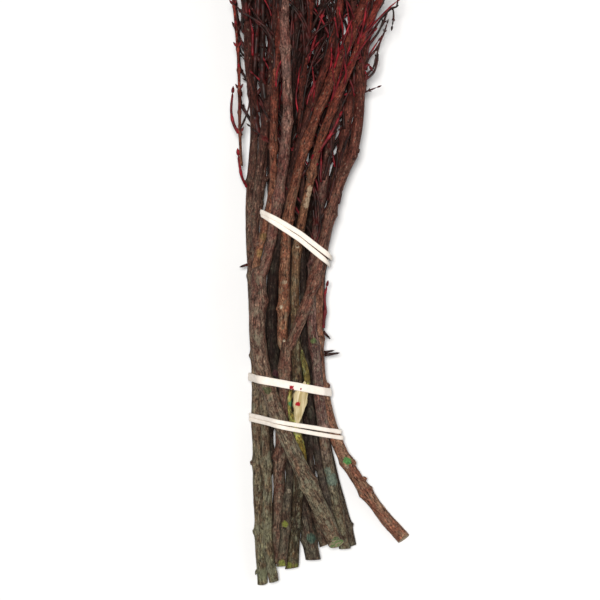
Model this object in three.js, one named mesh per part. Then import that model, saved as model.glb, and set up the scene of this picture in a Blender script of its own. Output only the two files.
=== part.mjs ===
// A bundle of cut branches, lying on its side and held by three rubber bands.
// Millimetres, +Z up. The branches run along +Y, cut ends first, and the floor is Z = 0.
import * as THREE from "three";

// Driving dimensions.
const CROWN_TOP = 560; // furthest tip from the lowest cut end
const STEP = 20; // spacing of the stations at which the branches are shaped and kept apart
const LEAST_STEP = 5; // no ring is nearer than this to a branch's end
const GAP = 0.7; // clear space between neighbours
const BUTT_SWELL = 1.12; // a cut end is a little thicker than the stem above it
const FORK_GAP = 0.4; // clear space between a stem and the arms that continue it
const STEM_SIDES = 7;
const ARM_SIDES = 6;

// How the branches settle against one another. Each share is of the way to go, in one round.
const SETTLE_PASSES = 3; // passes before the last one, each followed by joining the forks
const SETTLE_ROUNDS = 420;
const CLOSING_ROUNDS = 140; // last rounds, in which the pulls fade and neighbours are only pushed apart
const PUSH_ONLY_ROUNDS = 40; // and the very last of them, with no pull at all
const SMOOTHING = 0.3;
const PULL_ACROSS = 0.3; // back towards the route, seen from above
const PULL_UP = 0.04; // back towards the route's height
const SIDEWAYS = 0.35; // how much of a push may go sideways rather than up and down
const LEVEL = 0.05; // below this slope two neighbours count as level, and one is pushed over the other
const LEVEL_PUSH = 0.3;
const JOIN_STATIONS = 4; // an arm is moved to its fork over this many stations
const BUTT_LENGTH = 18; // how far up a stem its swollen butt reaches

// Rubber bands: y is where the loop crosses x = 0, and lean is how far it runs back per millimetre to the
// right. A band wound twice is narrower at the left, where its strands lie close: narrow is its share there.
const BAND_THICK = 1.5;
const BAND_CLEAR = 0.7;
const BAND_SPARE = 1.6; // further room beside a band where it runs straight between two stems
const BAND_BESIDE = 18; // neighbours keep that room within this distance of the band
const BAND_UNDER = 16; // stems are held off the floor within this distance of a band
const BANDS = [
  { name: "lower_rubber_band", y: 88, lean: 0.13, wide: 5.0, narrow: 0.7, outside: [] },
  { name: "middle_rubber_band", y: 110.5, lean: 0.15, wide: 4.2, narrow: 1, outside: [] },
  {
    name: "top_rubber_band",
    y: 194,
    lean: 0.72,
    wide: 4.6,
    narrow: 0.6,
    outside: ["left_outer_stem", "left_inner_stem"],
  },
];
const BAND_SIDES = 6;
const BAND_STEPS = 30;

const BARK_GREY = "#6b5a4c";
const BARK_BROWN = "#5d3d31";
const BARK_DARK = "#3f2a24";
const BARK_ORANGE = "#7d4a36";
const BARK_OLIVE = "#5f5436";
const BARK_RED = "#6e2622";
const TWIG_RED = "#98202c";
const RUBBER_CREAM = "#f2e8d8";

// One entry for each branch. thick is the diameter at the cut end and at the top of the route, and each route
// point is [across, along, up]. arms are the tips of the two shoots that continue it, in the same order.
const BRANCHES = [
  {
    name: "left_outer_stem",
    colour: BARK_GREY,
    thick: [6.2, 4.0],
    route: [
      [-16.8, 0.5, 5], [-18, 22, 7], [-19, 50, 10], [-20.2, 66, 12], [-19.8, 85, 13], [-20.6, 110, 13],
      [-21.2, 145, 14], [-22.8, 180, 13], [-25.2, 208, 13], [-21.6, 236, 17], [-18.6, 250, 21],
      [-22.5, 270, 23], [-24.4, 285, 24], [-25, 310, 25], [-29, 345, 27],
    ],
    arms: [[-66, 520, 52], [-44, 545, 30]],
  },
  {
    name: "left_inner_stem",
    colour: BARK_GREY,
    thick: [5.2, 4.0],
    route: [
      [-10.5, 2, 10], [-12.5, 16, 12], [-14, 34, 15], [-14, 54, 18], [-15, 78, 20], [-17, 110, 18],
      [-18.5, 150, 18], [-20.8, 180, 18], [-21.4, 206, 19.5], [-18.6, 230, 22], [-16.8, 244, 25],
      [-13.8, 264, 27], [-11, 286, 29], [-9.2, 310, 31], [-10, 350, 34],
    ],
    arms: [[-38, 535, 78], [-15, 556, 62]],
  },
  {
    name: "thick_front_stem",
    colour: BARK_GREY,
    thick: [8.6, 8.8],
    route: [
      [24, 24, 21], [16, 42, 27], [5.5, 63, 37], [-3.5, 82, 35], [-11.5, 100, 31], [-17, 117, 29],
      [-20, 134, 28], [-20.2, 155, 28], [-18.5, 172, 28.5], [-18, 177, 28.5],
    ],
    arms: [],
  },
  {
    name: "thick_stem_left_arm",
    colour: BARK_ORANGE,
    from: "thick_front_stem",
    side: -1,
    thick: [4.8, 3.6],
    route: [
      [-20, 178, 28], [-17.6, 188, 28], [-12.6, 203, 28.5], [-9.8, 217, 29], [-10.4, 232, 30],
      [-11, 252, 31], [-9.6, 274, 33], [-8, 292, 34], [-7, 310, 36], [-6, 350, 40],
    ],
    arms: [[-24, 520, 90], [-1, 558, 86]],
  },
  {
    name: "thick_stem_right_arm",
    colour: BARK_RED,
    from: "thick_front_stem",
    side: 1,
    thick: [5.8, 5.2],
    route: [
      [-15, 178, 29], [-10.5, 194, 30.5], [-8, 212, 33], [-5, 227, 35], [-3, 245, 36], [-2.4, 262, 37],
      [-3, 280, 37], [-4, 300, 40], [-5, 322, 43], [-5, 365, 48],
    ],
    arms: [[-6, 505, 92], [16, 548, 96]],
  },
  {
    name: "dark_stem",
    colour: BARK_DARK,
    thick: [7.6, 3.4],
    route: [
      [11.5, 14, 9], [9, 32, 11], [4, 52, 13], [-2, 75, 14], [-8, 105, 18], [-12.4, 126, 20],
      [-12.2, 150, 21], [-11, 170, 22], [-8.4, 192, 23], [-5.6, 206, 23.5], [-1.5, 222, 25], [1.6, 240, 27],
      [6, 256, 30], [11, 270, 33], [18, 285, 36], [23, 296, 38], [25.6, 308, 40], [26.6, 330, 42],
      [27, 360, 45],
    ],
    arms: [[22, 522, 78], [44, 552, 84]],
  },
  {
    name: "forked_middle_stem",
    colour: BARK_BROWN,
    thick: [6.6, 6.4],
    route: [
      [-8.8, 12, 6.5], [-7.6, 35, 11], [-6.8, 58, 16], [-6.4, 80, 20.5], [-4.4, 100, 23], [-3.9, 118, 25],
      [-3.4, 137, 26.5],
    ],
    arms: [],
  },
  {
    name: "middle_stem_orange_arm",
    colour: BARK_ORANGE,
    from: "forked_middle_stem",
    side: -1,
    thick: [5.9, 4.8],
    route: [
      [-5.6, 138, 26.5], [-4.6, 156, 28], [-4.6, 172, 28.5], [-4.8, 188, 29], [-3.4, 203, 29.5],
      [0, 220, 31], [4, 235, 33], [9.4, 250, 36], [15, 265, 39], [21, 278, 42], [28, 292, 46],
      [34, 306, 50], [40, 322, 54], [50, 355, 60],
    ],
    arms: [[70, 500, 92], [96, 515, 78]],
  },
  {
    name: "middle_stem_right_arm",
    colour: BARK_BROWN,
    from: "forked_middle_stem",
    side: 1,
    thick: [6.2, 4.8],
    route: [
      [0.4, 138, 27], [4.2, 149, 29], [8.6, 158, 30], [12.2, 170, 30], [15.2, 182, 29], [18.4, 200, 29],
      [21.4, 214, 30], [26.4, 227, 31], [33.4, 238, 32], [38, 246, 33], [37, 262, 34], [36.8, 276, 35],
      [37.8, 294, 36], [40, 320, 37], [46, 360, 38],
    ],
    arms: [[60, 530, 58], [84, 545, 44]],
  },
  {
    name: "olive_stem",
    colour: BARK_OLIVE,
    thick: [6.4, 3.4],
    route: [
      [-0.6, 9, 6.5], [1.2, 28, 10], [2.2, 50, 15.5], [2.6, 74, 18], [2.8, 90, 21], [2.6, 110, 24],
      [1.8, 132, 24], [0.9, 150, 23.5], [0.6, 170, 25], [2, 186, 26.5], [4.4, 200, 28], [7.4, 213, 30],
      [9.4, 228, 33], [12.6, 243, 36], [18, 256, 40], [23.6, 268, 44], [30.4, 282, 48], [36, 297, 53],
      [42, 311, 57], [48.5, 324, 60], [62, 352, 63],
    ],
    arms: [[104, 478, 70], [122, 452, 52]],
  },
  {
    name: "lichen_stem",
    colour: BARK_GREY,
    thick: [6.4, 3.6],
    route: [
      [29, 20, 10], [24.6, 40, 14], [20.2, 63, 18], [16.2, 85, 21.5], [13.6, 102, 22.5], [12.6, 120, 22.5],
      [9.8, 140, 22], [8.4, 156, 21], [9.8, 174, 20.5], [13, 192, 21], [15.4, 212, 23], [18, 236, 26],
      [23, 257, 30], [27, 275, 33], [30, 295, 35], [33, 320, 36], [36, 350, 36],
    ],
    arms: [[34, 512, 62], [64, 500, 74]],
  },
  {
    name: "hidden_right_stem",
    colour: BARK_GREY,
    thick: [5.0, 3.4],
    route: [
      [33, 21, 5], [30, 33, 7], [24.6, 52, 9], [18, 77, 11], [14.6, 102, 12], [14.4, 135, 12.5],
      [15.5, 165, 13], [18, 195, 13.5], [22, 220, 14], [28, 250, 15], [32, 275, 16], [34, 300, 16],
      [40, 345, 16],
    ],
    arms: [[62, 540, 20], [88, 500, 14]],
  },
  {
    name: "splayed_stem",
    colour: BARK_BROWN,
    thick: [7.2, 4.2],
    route: [
      [61.4, 25, 3.8], [53, 34, 4.8], [44.5, 43, 6.5], [38, 52, 9], [32.6, 61, 11], [27.4, 69, 13.5],
      [22.4, 79, 16], [18.4, 90, 17.5], [16, 100, 18.5], [14.2, 114, 18.5], [13.2, 130, 18],
      [13.2, 150, 18], [14, 170, 18], [16.8, 190, 18.5], [20.6, 208, 19.5], [24.8, 225, 21], [28, 243, 23],
      [30.6, 262, 25], [34, 283, 26], [37, 305, 26], [42, 345, 26],
    ],
    arms: [[78, 518, 34], [104, 485, 28]],
  },
  {
    name: "yellow_rimmed_stem",
    colour: BARK_BROWN,
    thick: [5.4, 3.2],
    route: [
      [-6.4, 11, 12], [-5, 28, 14.5], [-2.4, 44, 17], [-0.4, 62, 18], [0, 85, 16.5], [-1, 110, 17.5],
      [-1.6, 140, 18], [-1.2, 170, 19], [-2, 200, 20], [-3, 225, 24], [-2, 250, 26], [-0.6, 275, 28],
      [1, 300, 31], [2.8, 322, 33], [4, 360, 38],
    ],
    arms: [[9, 512, 70], [28, 545, 64]],
  },
  {
    name: "crossing_dark_stem",
    colour: BARK_DARK,
    thick: [5.2, 1.8],
    route: [
      [17.5, 22, 12.5], [13.5, 37, 13], [9, 50, 11.5], [4.5, 66, 10.5], [-1.5, 88, 10], [-5, 112, 12],
      [-7, 140, 14], [-7, 170, 15], [-5, 200, 16], [-3, 230, 18], [0, 262, 20], [4, 292, 21], [7, 322, 22],
      [10, 360, 24], [16, 430, 32], [20, 490, 40], [22, 535, 46],
    ],
    arms: [],
  },
  {
    name: "slim_dark_stem",
    colour: BARK_DARK,
    thick: [4.0, 3.0],
    route: [
      [23, 25, 14.5], [20, 42, 18], [15, 63, 22.5], [12, 75, 25], [10.3, 88, 26.5], [10, 104, 27],
      [8.4, 118, 26.5], [6.8, 130, 24], [5.6, 150, 20.5], [5.4, 175, 20.5], [5.4, 200, 22], [4.6, 230, 24],
      [4, 260, 27], [4.8, 280, 30], [8.2, 294, 33], [9.6, 316, 36], [12, 352, 40],
    ],
    arms: [[24, 500, 62], [52, 512, 62]],
  },
  {
    name: "torn_yellow_twig",
    colour: BARK_OLIVE,
    thick: [3.6, 2.8],
    route: [
      [12.4, 52, 19.5], [10.2, 62, 22], [7.8, 72, 25.5], [5.6, 81, 28.5], [5, 92, 30.5], [6.4, 102, 31.5],
      [7.6, 111, 31], [6.6, 122, 29.5], [5.8, 134, 27.5], [5.4, 142, 26],
    ],
    arms: [],
  },
  {
    name: "back_stem_left",
    colour: BARK_BROWN,
    thick: [5.2, 3.4],
    route: [
      [-16.4, 36, 4], [-15, 62, 6.5], [-14, 88, 8], [-14, 120, 8], [-12.5, 160, 8], [-11, 200, 8],
      [-13, 240, 9], [-17, 280, 9], [-22, 322, 8], [-28, 360, 7],
    ],
    arms: [[-78, 490, 10], [-58, 532, 4]],
  },
  {
    name: "back_stem_second",
    colour: BARK_BROWN,
    thick: [5.6, 1.8],
    route: [
      [-8.4, 24, 3.6], [-8, 60, 6], [-7.4, 88, 7], [-7, 130, 7], [-5.4, 180, 7], [-5, 230, 8], [-8, 280, 8],
      [-13, 322, 7], [-17, 365, 6], [-24, 440, 6], [-32, 500, 8], [-36, 545, 12],
    ],
    arms: [],
  },
  {
    name: "back_stem_middle",
    colour: BARK_GREY,
    thick: [5.8, 3.6],
    route: [
      [0.5, 20, 3.6], [0, 60, 5.5], [-0.5, 88, 6.5], [-0.2, 130, 6.5], [1, 180, 6.5], [2, 230, 7.5],
      [2, 280, 7], [3, 322, 6], [5, 370, 4],
    ],
    arms: [[4, 548, 4], [24, 556, 24]],
  },
  {
    name: "back_stem_fourth",
    colour: BARK_BROWN,
    thick: [5.4, 1.8],
    route: [
      [9.5, 26, 3.6], [9.4, 60, 5], [6.5, 88, 6.5], [6.5, 130, 6.5], [7.5, 180, 6.5], [10, 230, 7],
      [13, 280, 7], [17, 322, 6], [22, 355, 4], [32, 430, 3], [40, 490, 3], [47, 535, 4],
    ],
    arms: [],
  },
  {
    name: "back_stem_right",
    colour: BARK_DARK,
    thick: [4.8, 3.2],
    route: [
      [24.5, 40, 3.4], [15.6, 64, 5.5], [14, 92, 7.5], [12.8, 130, 7.5], [13.5, 180, 7], [17, 230, 7],
      [22, 280, 6], [27, 322, 5], [34, 355, 3.5],
    ],
    arms: [[82, 528, 3], [98, 450, 3]],
  },
  {
    name: "left_red_twig",
    colour: TWIG_RED,
    thick: [2.2, 1.4],
    swell: 1,
    route: [
      [-28.4, 232, 22], [-29.6, 247, 24], [-29.4, 262, 26], [-29.2, 284, 29], [-30.2, 300, 31],
      [-31.6, 316, 33], [-36, 350, 37], [-52, 430, 48],
    ],
    arms: [],
  },
];

// ---- Routes -------------------------------------------------------------------------------------------

const FLOOR_UNDER_BANDS = BAND_THICK + 2 * BAND_CLEAR;
const BAND_REACH = 34; // how far from a band the stems come down to the floor

// The lowest a stem's underside may be: lifted where a band passes beneath it.
function floorAt(y) {
  const nearest = Math.min(...BANDS.map((band) => Math.abs(band.y - y)));
  const t = Math.min(1, Math.max(0, (nearest - BAND_UNDER) / BAND_REACH));
  return FLOOR_UNDER_BANDS * (1 - t * t * (3 - 2 * t));
}

// A crown arm leaves the top of its stem beside its twin and bends towards its own tip.
function crownArm(parent, tip, side, index) {
  const [x, y, z] = parent.route[parent.route.length - 1];
  const start = parent.thick[1] * 0.78;
  const offset = side * (start / 2 + FORK_GAP / 2);
  const [tipX, tipY, tipZ] = tip;
  const run = tipY - y;
  return {
    name: `${parent.name.replace("_stem", "").replace("stem_", "")}_crown_${index + 1}`,
    colour: BARK_RED,
    from: parent.name,
    side,
    crown: true,
    swell: 1,
    thick: [start, 1.8],
    route: [
      [x + offset, y + FORK_GAP, z],
      [x + offset + (tipX - x) * 0.2 + side * 1.5, y + run * 0.25, z + (tipZ - z) * 0.2],
      [x + (tipX - x) * 0.55 + side * 2, y + run * 0.6, z + (tipZ - z) * 0.55],
      [tipX, tipY, tipZ],
    ],
  };
}

function withCrownArms(branches) {
  const all = [];
  for (const branch of branches) {
    all.push(branch);
    const order = branch.arms?.length === 2 && branch.arms[0][0] > branch.arms[1][0] ? [1, -1] : [-1, 1];
    (branch.arms ?? []).forEach((tip, i) => all.push(crownArm(branch, tip, order[i], i)));
  }
  return all;
}

// A branch as stations: its centre and half-thickness where it crosses each plane y = station * STEP.
function makeStrand(branch) {
  const points = branch.route.map((p) => new THREE.Vector3(...p));
  const curve = new THREE.CatmullRomCurve3(points, false, "centripetal");
  const line = curve.getPoints(branch.route.length * 24);
  const from = line[0].y;
  const to = line[line.length - 1].y;
  const swell = branch.swell ?? BUTT_SWELL;
  const first = Math.floor(from / STEP);
  const last = Math.ceil(to / STEP);
  const stations = [];
  for (let k = first; k <= last; k++) {
    const y = Math.min(to, Math.max(from, k * STEP));
    const i = Math.max(1, line.findIndex((p, n) => n > 0 && p.y >= y - 1e-6));
    const a = line[i - 1];
    const b = line[i];
    const t = (y - a.y) / (b.y - a.y || 1);
    const share = (y - from) / (to - from);
    const taper = branch.thick[0] + (branch.thick[1] - branch.thick[0]) * share;
    const butt = 1 + (swell - 1) * Math.max(0, 1 - (y - from) / BUTT_LENGTH);
    stations.push({
      x: a.x + (b.x - a.x) * t + (k * STEP - y) * ((b.x - a.x) / (b.y - a.y || 1)),
      z: a.z + (b.z - a.z) * t,
      radius: (taper * butt) / 2,
      wideX: Math.hypot(1, (b.x - a.x) / (b.y - a.y || 1)),
      wideZ: Math.hypot(1, (b.z - a.z) / (b.y - a.y || 1)),
    });
  }
  for (const s of stations) {
    s.wantX = s.x;
    s.wantZ = s.z;
  }
  return { ...branch, start: from, end: to, first, last, stations };
}

// ---- Settling: neighbours are pushed apart, mostly up and down, until nothing overlaps ---------------

const related = (a, b) => a.from === b.name || b.from === a.name;

// Where a band passes between two neighbours, they stand apart by its thickness as well.
function bandBetween(a, b, k, x) {
  for (const band of BANDS) {
    const split = band.outside.includes(a.name) !== band.outside.includes(b.name);
    if (split && Math.abs(k * STEP - (band.y - band.lean * x)) < BAND_BESIDE) {
      return BAND_THICK + 2 * BAND_CLEAR + BAND_SPARE;
    }
  }
  return 0;
}

function pushApart(strands, k) {
  const here = strands.filter((s) => k >= s.first && k <= s.last);
  for (let i = 0; i < here.length; i++) {
    for (let j = i + 1; j < here.length; j++) {
      if (related(here[i], here[j])) continue;
      const a = here[i].stations[k - here[i].first];
      const b = here[j].stations[k - here[j].first];
      const dx = b.x - a.x;
      const dz = b.z - a.z;
      const far = Math.hypot(dx, dz);
      const lean = far > 1e-6 ? (dx / far) ** 2 : 0;
      const reachA = a.radius * (lean * a.wideX + (1 - lean) * a.wideZ);
      const reachB = b.radius * (lean * b.wideX + (1 - lean) * b.wideZ);
      const room = GAP + bandBetween(here[i], here[j], k, (a.x + b.x) / 2);
      const short = reachA + reachB + room - far;
      if (short <= 0) continue;
      let ux = SIDEWAYS * dx;
      let uz = dz;
      if (Math.abs(dz) < LEVEL * far) uz = b.wantZ >= a.wantZ ? LEVEL_PUSH : -LEVEL_PUSH;
      const length = Math.hypot(ux, uz) || 1;
      ux /= length;
      uz /= length;
      const along = Math.max(0.5, (ux * dx + uz * dz) / (far || 1));
      const half = (0.5 * short) / along;
      a.x -= ux * half;
      a.z -= uz * half;
      b.x += ux * half;
      b.z += uz * half;
    }
  }
}

function smooth(strand, amount) {
  const stations = strand.stations;
  for (const axis of ["x", "z"]) {
    const before = stations.map((p) => p[axis]);
    for (let i = 1; i < stations.length - 1; i++) {
      stations[i][axis] += amount * ((before[i - 1] + before[i + 1]) / 2 - before[i]);
    }
  }
}

function settle(strands) {
  const lastStation = Math.ceil(CROWN_TOP / STEP) + 1;
  for (let round = 0; round < SETTLE_ROUNDS; round++) {
    const closing = round >= SETTLE_ROUNDS - CLOSING_ROUNDS;
    const ease = closing ? Math.max(0, (SETTLE_ROUNDS - PUSH_ONLY_ROUNDS - round) / CLOSING_ROUNDS) : 1;
    for (const strand of strands) {
      if (ease > 0) smooth(strand, SMOOTHING * ease);
      for (const p of strand.stations) {
        p.x += PULL_ACROSS * ease * (p.wantX - p.x);
        p.z += PULL_UP * ease * (p.wantZ - p.z);
      }
    }
    for (let k = 0; k <= lastStation; k++) pushApart(strands, k);
    for (const strand of strands) {
      strand.stations.forEach((p, i) => {
        const lowest = floorAt((strand.first + i) * STEP) + p.radius * p.wideZ;
        p.z = Math.max(p.z, lowest);
      });
    }
  }
}

// An arm starts where its stem ends, so a stem's last stations pull its arms' first ones with them.
function centreAt(strand, y) {
  const at = y / STEP - strand.first;
  const i = Math.min(strand.stations.length - 2, Math.max(0, Math.floor(at)));
  const a = strand.stations[i];
  const b = strand.stations[i + 1];
  const t = at - i;
  const mix = (key) => a[key] + (b[key] - a[key]) * t;
  const slopeX = (b.x - a.x) / STEP;
  const slopeZ = (b.z - a.z) / STEP;
  return { x: mix("x"), z: mix("z"), radius: mix("radius"), slopeX, slopeZ };
}

function joinForks(strands) {
  const byName = new Map(strands.map((s) => [s.name, s]));
  for (const strand of strands) {
    if (!strand.from) continue;
    const parent = byName.get(strand.from);
    const top = centreAt(parent, parent.end);
    const base = centreAt(strand, strand.start);
    const offset = strand.side * (base.radius + FORK_GAP / 2);
    const moveX = top.x + offset - base.x;
    const moveZ = top.z - base.z;
    strand.stations.forEach((p, i) => {
      const fade = Math.max(0, 1 - Math.max(0, i - 1) / JOIN_STATIONS);
      p.x += moveX * fade;
      p.z += moveZ * fade;
    });
  }
}

// ---- Solids ---------------------------------------------------------------------------------------------

const material = (color, roughness) => new THREE.MeshStandardMaterial({ color, roughness, metalness: 0 });

// A closed tapering stem: a cylinder whose rings are carried to the strand's stations. Its cut end is square.
function stemMesh(strand) {
  const sides = strand.crown || strand.thick[0] < 3 ? ARM_SIDES : STEM_SIDES;
  const ringAt = [strand.start];
  for (let k = strand.first + 1; k < strand.last; k++) {
    const clear = Math.min(k * STEP - strand.start, strand.end - k * STEP);
    if (clear > LEAST_STEP) ringAt.push(k * STEP);
  }
  ringAt.push(strand.end);
  const spans = ringAt.length - 1;
  const geometry = new THREE.CylinderGeometry(1, 1, 1, sides, spans, false);
  const place = geometry.getAttribute("position");
  for (let i = 0; i < place.count; i++) {
    const ring = Math.round((place.getY(i) + 0.5) * spans);
    const y = ringAt[ring];
    const c = centreAt(strand, y);
    const across = place.getX(i) * c.radius * Math.hypot(1, c.slopeX);
    const up = place.getZ(i) * c.radius * Math.hypot(1, c.slopeZ);
    const square = ring === 0 ? 1 / (1 + c.slopeX ** 2 + c.slopeZ ** 2) : 0;
    const back = square * (c.slopeX * across + c.slopeZ * up);
    place.setXYZ(i, c.x + across - back * c.slopeX, y - back, c.z + up - back * c.slopeZ);
  }
  geometry.computeVertexNormals();
  const mesh = new THREE.Mesh(geometry, material(strand.colour, 0.85));
  mesh.name = strand.name;
  return mesh;
}

// The convex line round every strand inside a band, in the band's own leaning plane.
function bandLoop(band, strands) {
  const inside = strands.filter((s) => !band.outside.includes(s.name) && !band.outside.includes(s.from));
  const circles = [];
  for (const strand of inside) {
    let y = band.y;
    for (let i = 0; i < 8; i++) y = band.y - band.lean * centreAt(strand, y).x;
    if (y < strand.start || y > strand.end) continue;
    const c = centreAt(strand, y);
    circles.push({ ...c, wideX: Math.hypot(1, c.slopeX), wideZ: Math.hypot(1, c.slopeZ) });
  }
  const off = BAND_CLEAR + BAND_THICK / 2;
  const loop = [];
  for (let i = 0; i < BAND_STEPS; i++) {
    const angle = (i / BAND_STEPS) * 2 * Math.PI;
    const nx = Math.cos(angle);
    const nz = Math.sin(angle);
    let best = null;
    for (const c of circles) {
      const reach = c.radius * Math.hypot(nx * c.wideX, nz * c.wideZ) + off;
      const far = c.x * nx + c.z * nz + reach;
      if (!best || far > best.far) best = { far, c };
    }
    const swellX = best.c.radius * best.c.wideX + off;
    const swellZ = best.c.radius * best.c.wideZ + off;
    const x = best.c.x + nx * swellX;
    const z = best.c.z + nz * swellZ;
    loop.push({ x, y: band.y - band.lean * x, z, nx, nz });
  }
  return loop;
}

// A band is a closed ring of rounded section carried round that line.
function bandMesh(band, strands) {
  const loop = bandLoop(band, strands);
  const geometry = new THREE.TorusGeometry(2, 1, BAND_SIDES, BAND_STEPS);
  const place = geometry.getAttribute("position");
  const tilt = Math.hypot(1, band.lean);
  const left = Math.min(...loop.map((p) => p.x));
  const right = Math.max(...loop.map((p) => p.x));
  for (let i = 0; i < place.count; i++) {
    const around = Math.atan2(place.getY(i), place.getX(i));
    const index = Math.round((around / (2 * Math.PI)) * BAND_STEPS + BAND_STEPS) % BAND_STEPS;
    const p = loop[index];
    const out = (Math.hypot(place.getX(i), place.getY(i)) - 2) * (BAND_THICK / 2);
    const share = (p.x - left) / (right - left);
    const along = -place.getZ(i) * (band.wide / 2) * (band.narrow + (1 - band.narrow) * share);
    const x = p.x + out * p.nx + (along * band.lean) / tilt;
    place.setXYZ(i, x, p.y - out * p.nx * band.lean + along / tilt, p.z + out * p.nz);
  }
  geometry.computeVertexNormals();
  const mesh = new THREE.Mesh(geometry, material(RUBBER_CREAM, 0.6));
  mesh.name = band.name;
  return mesh;
}

// ---- The bundle ---------------------------------------------------------------------------------------

const strands = withCrownArms(BRANCHES).map(makeStrand);
for (let pass = 0; pass < SETTLE_PASSES; pass++) {
  settle(strands);
  joinForks(strands);
}
settle(strands);

const bundle = new THREE.Group();
for (const strand of strands) bundle.add(stemMesh(strand));
for (const band of BANDS) bundle.add(bandMesh(band, strands));

// The origin is the middle of the footprint, on the floor.
const box = new THREE.Box3().setFromObject(bundle);
bundle.position.set(-(box.min.x + box.max.x) / 2, -(box.min.y + box.max.y) / 2, -box.min.z);

export default bundle;
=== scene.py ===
"""A bundle of cut, dyed branches held by three rubber bands, lying on a pale floor and seen from above."""
import math
import random

import bpy
import numpy as np
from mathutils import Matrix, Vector


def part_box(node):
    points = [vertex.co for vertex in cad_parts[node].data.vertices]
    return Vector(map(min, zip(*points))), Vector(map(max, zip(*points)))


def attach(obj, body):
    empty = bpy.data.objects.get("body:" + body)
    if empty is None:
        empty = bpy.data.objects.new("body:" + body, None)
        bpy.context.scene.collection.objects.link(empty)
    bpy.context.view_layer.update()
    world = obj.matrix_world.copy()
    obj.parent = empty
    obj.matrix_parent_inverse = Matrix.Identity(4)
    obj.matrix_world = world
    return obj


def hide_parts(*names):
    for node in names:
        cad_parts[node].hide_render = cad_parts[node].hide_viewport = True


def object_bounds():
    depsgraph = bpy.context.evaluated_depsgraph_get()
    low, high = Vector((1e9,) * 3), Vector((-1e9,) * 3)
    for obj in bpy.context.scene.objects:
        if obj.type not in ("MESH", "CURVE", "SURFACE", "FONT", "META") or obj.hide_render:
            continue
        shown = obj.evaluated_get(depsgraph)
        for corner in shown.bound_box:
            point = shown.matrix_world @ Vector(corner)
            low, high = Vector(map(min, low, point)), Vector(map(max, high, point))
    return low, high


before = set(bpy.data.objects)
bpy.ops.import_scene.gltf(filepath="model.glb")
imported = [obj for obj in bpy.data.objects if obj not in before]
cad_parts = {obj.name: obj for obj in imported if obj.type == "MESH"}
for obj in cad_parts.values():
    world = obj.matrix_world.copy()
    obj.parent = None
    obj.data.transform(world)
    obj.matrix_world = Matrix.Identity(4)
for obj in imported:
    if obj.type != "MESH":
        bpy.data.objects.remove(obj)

MM = 0.001
LOWEST = 0.0002  # nothing of the bundle reaches lower, so it lies on the floor and not in it
cad_low, cad_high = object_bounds()
CUT_END_Y = min(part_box(node)[0][1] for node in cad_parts)  # the lowest cut end
band_low, band_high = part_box("middle_rubber_band")
BUNDLE_X = (band_low[0] + band_high[0]) / 2  # the middle of the bundle, where the middle band crosses it


def place(x, y, z):
    """A point in millimetres: across from the bundle's middle, along from the cut end, above the floor."""
    return np.array([BUNDLE_X + x * MM, CUT_END_Y + y * MM, z * MM])


# ---- noise ---------------------------------------------------------------------------------------------


def lattice(cells, seed):
    """A repeatable number between -1 and 1 for each whole cell."""
    h = cells[..., 0] * 374761393 + cells[..., 1] * 668265263 + cells[..., 2] * 2147483647 + seed * 974634777
    h = (h ^ (h >> 13)) * 1274126177
    h = (h ^ (h >> 16)) & 0x7FFFFFFF
    return h / 0x3FFFFFFF - 1.0


def noise(points, seed=0):
    """Smooth value noise of an (n, 3) array, between -1 and 1."""
    base = np.floor(points)
    t = points - base
    t = t * t * (3 - 2 * t)
    cells = base.astype(np.int64)
    total = np.zeros(len(points))
    for corner in range(8):
        pick = np.array([corner & 1, corner >> 1 & 1, corner >> 2 & 1])
        weight = np.prod(np.where(pick, t, 1 - t), axis=1)
        total += weight * lattice(cells + pick, seed)
    return total


# ---- meshes --------------------------------------------------------------------------------------------


class Bin:
    """Gathers the surfaces of one piece."""

    def __init__(self):
        self.points, self.bark, self.faces, self.slots = [], [], [], []
        self.count = 0

    def add(self, points, bark, faces, slot):
        """faces holds arrays of quads or triangles over these points."""
        self.points.append(points)
        self.bark.append(bark)
        for group in faces:
            if len(group):
                self.faces.append(np.asarray(group) + self.count)
                self.slots.append(np.full(len(group), slot))
        self.count += len(points)

    def build(self, name, materials):
        mesh = bpy.data.meshes.new(name)
        points = np.concatenate(self.points)
        points[:, 2] = np.maximum(points[:, 2], LOWEST)
        mesh.vertices.add(len(points))
        mesh.vertices.foreach_set("co", points.ravel())
        loops = np.concatenate([f.ravel() for f in self.faces])
        sizes = np.concatenate([np.full(len(f), f.shape[1]) for f in self.faces])
        mesh.loops.add(len(loops))
        mesh.loops.foreach_set("vertex_index", loops)
        mesh.polygons.add(len(sizes))
        mesh.polygons.foreach_set("loop_start", np.concatenate([[0], np.cumsum(sizes)[:-1]]))
        for material in materials:
            mesh.materials.append(material)
        mesh.polygons.foreach_set("material_index", np.concatenate(self.slots))
        mesh.polygons.foreach_set("use_smooth", np.ones(len(sizes), dtype=bool))
        where = mesh.attributes.new("bark_at", "FLOAT_VECTOR", "POINT")
        where.data.foreach_set("vector", np.concatenate(self.bark).ravel())
        mesh.update(calc_edges=True)
        mesh.validate()
        piece = bpy.data.objects.new(name, mesh)
        bpy.context.scene.collection.objects.link(piece)
        return piece


def unit(v):
    return v / np.maximum(np.linalg.norm(v, axis=-1, keepdims=True), 1e-12)


def run_along(line):
    """The distance along a line at each of its points."""
    return np.concatenate([[0], np.cumsum(np.linalg.norm(np.diff(line, axis=0), axis=1))])


def turns(sides):
    """Even angles round a ring."""
    return np.arange(sides) * (2 * math.pi / sides)


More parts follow.
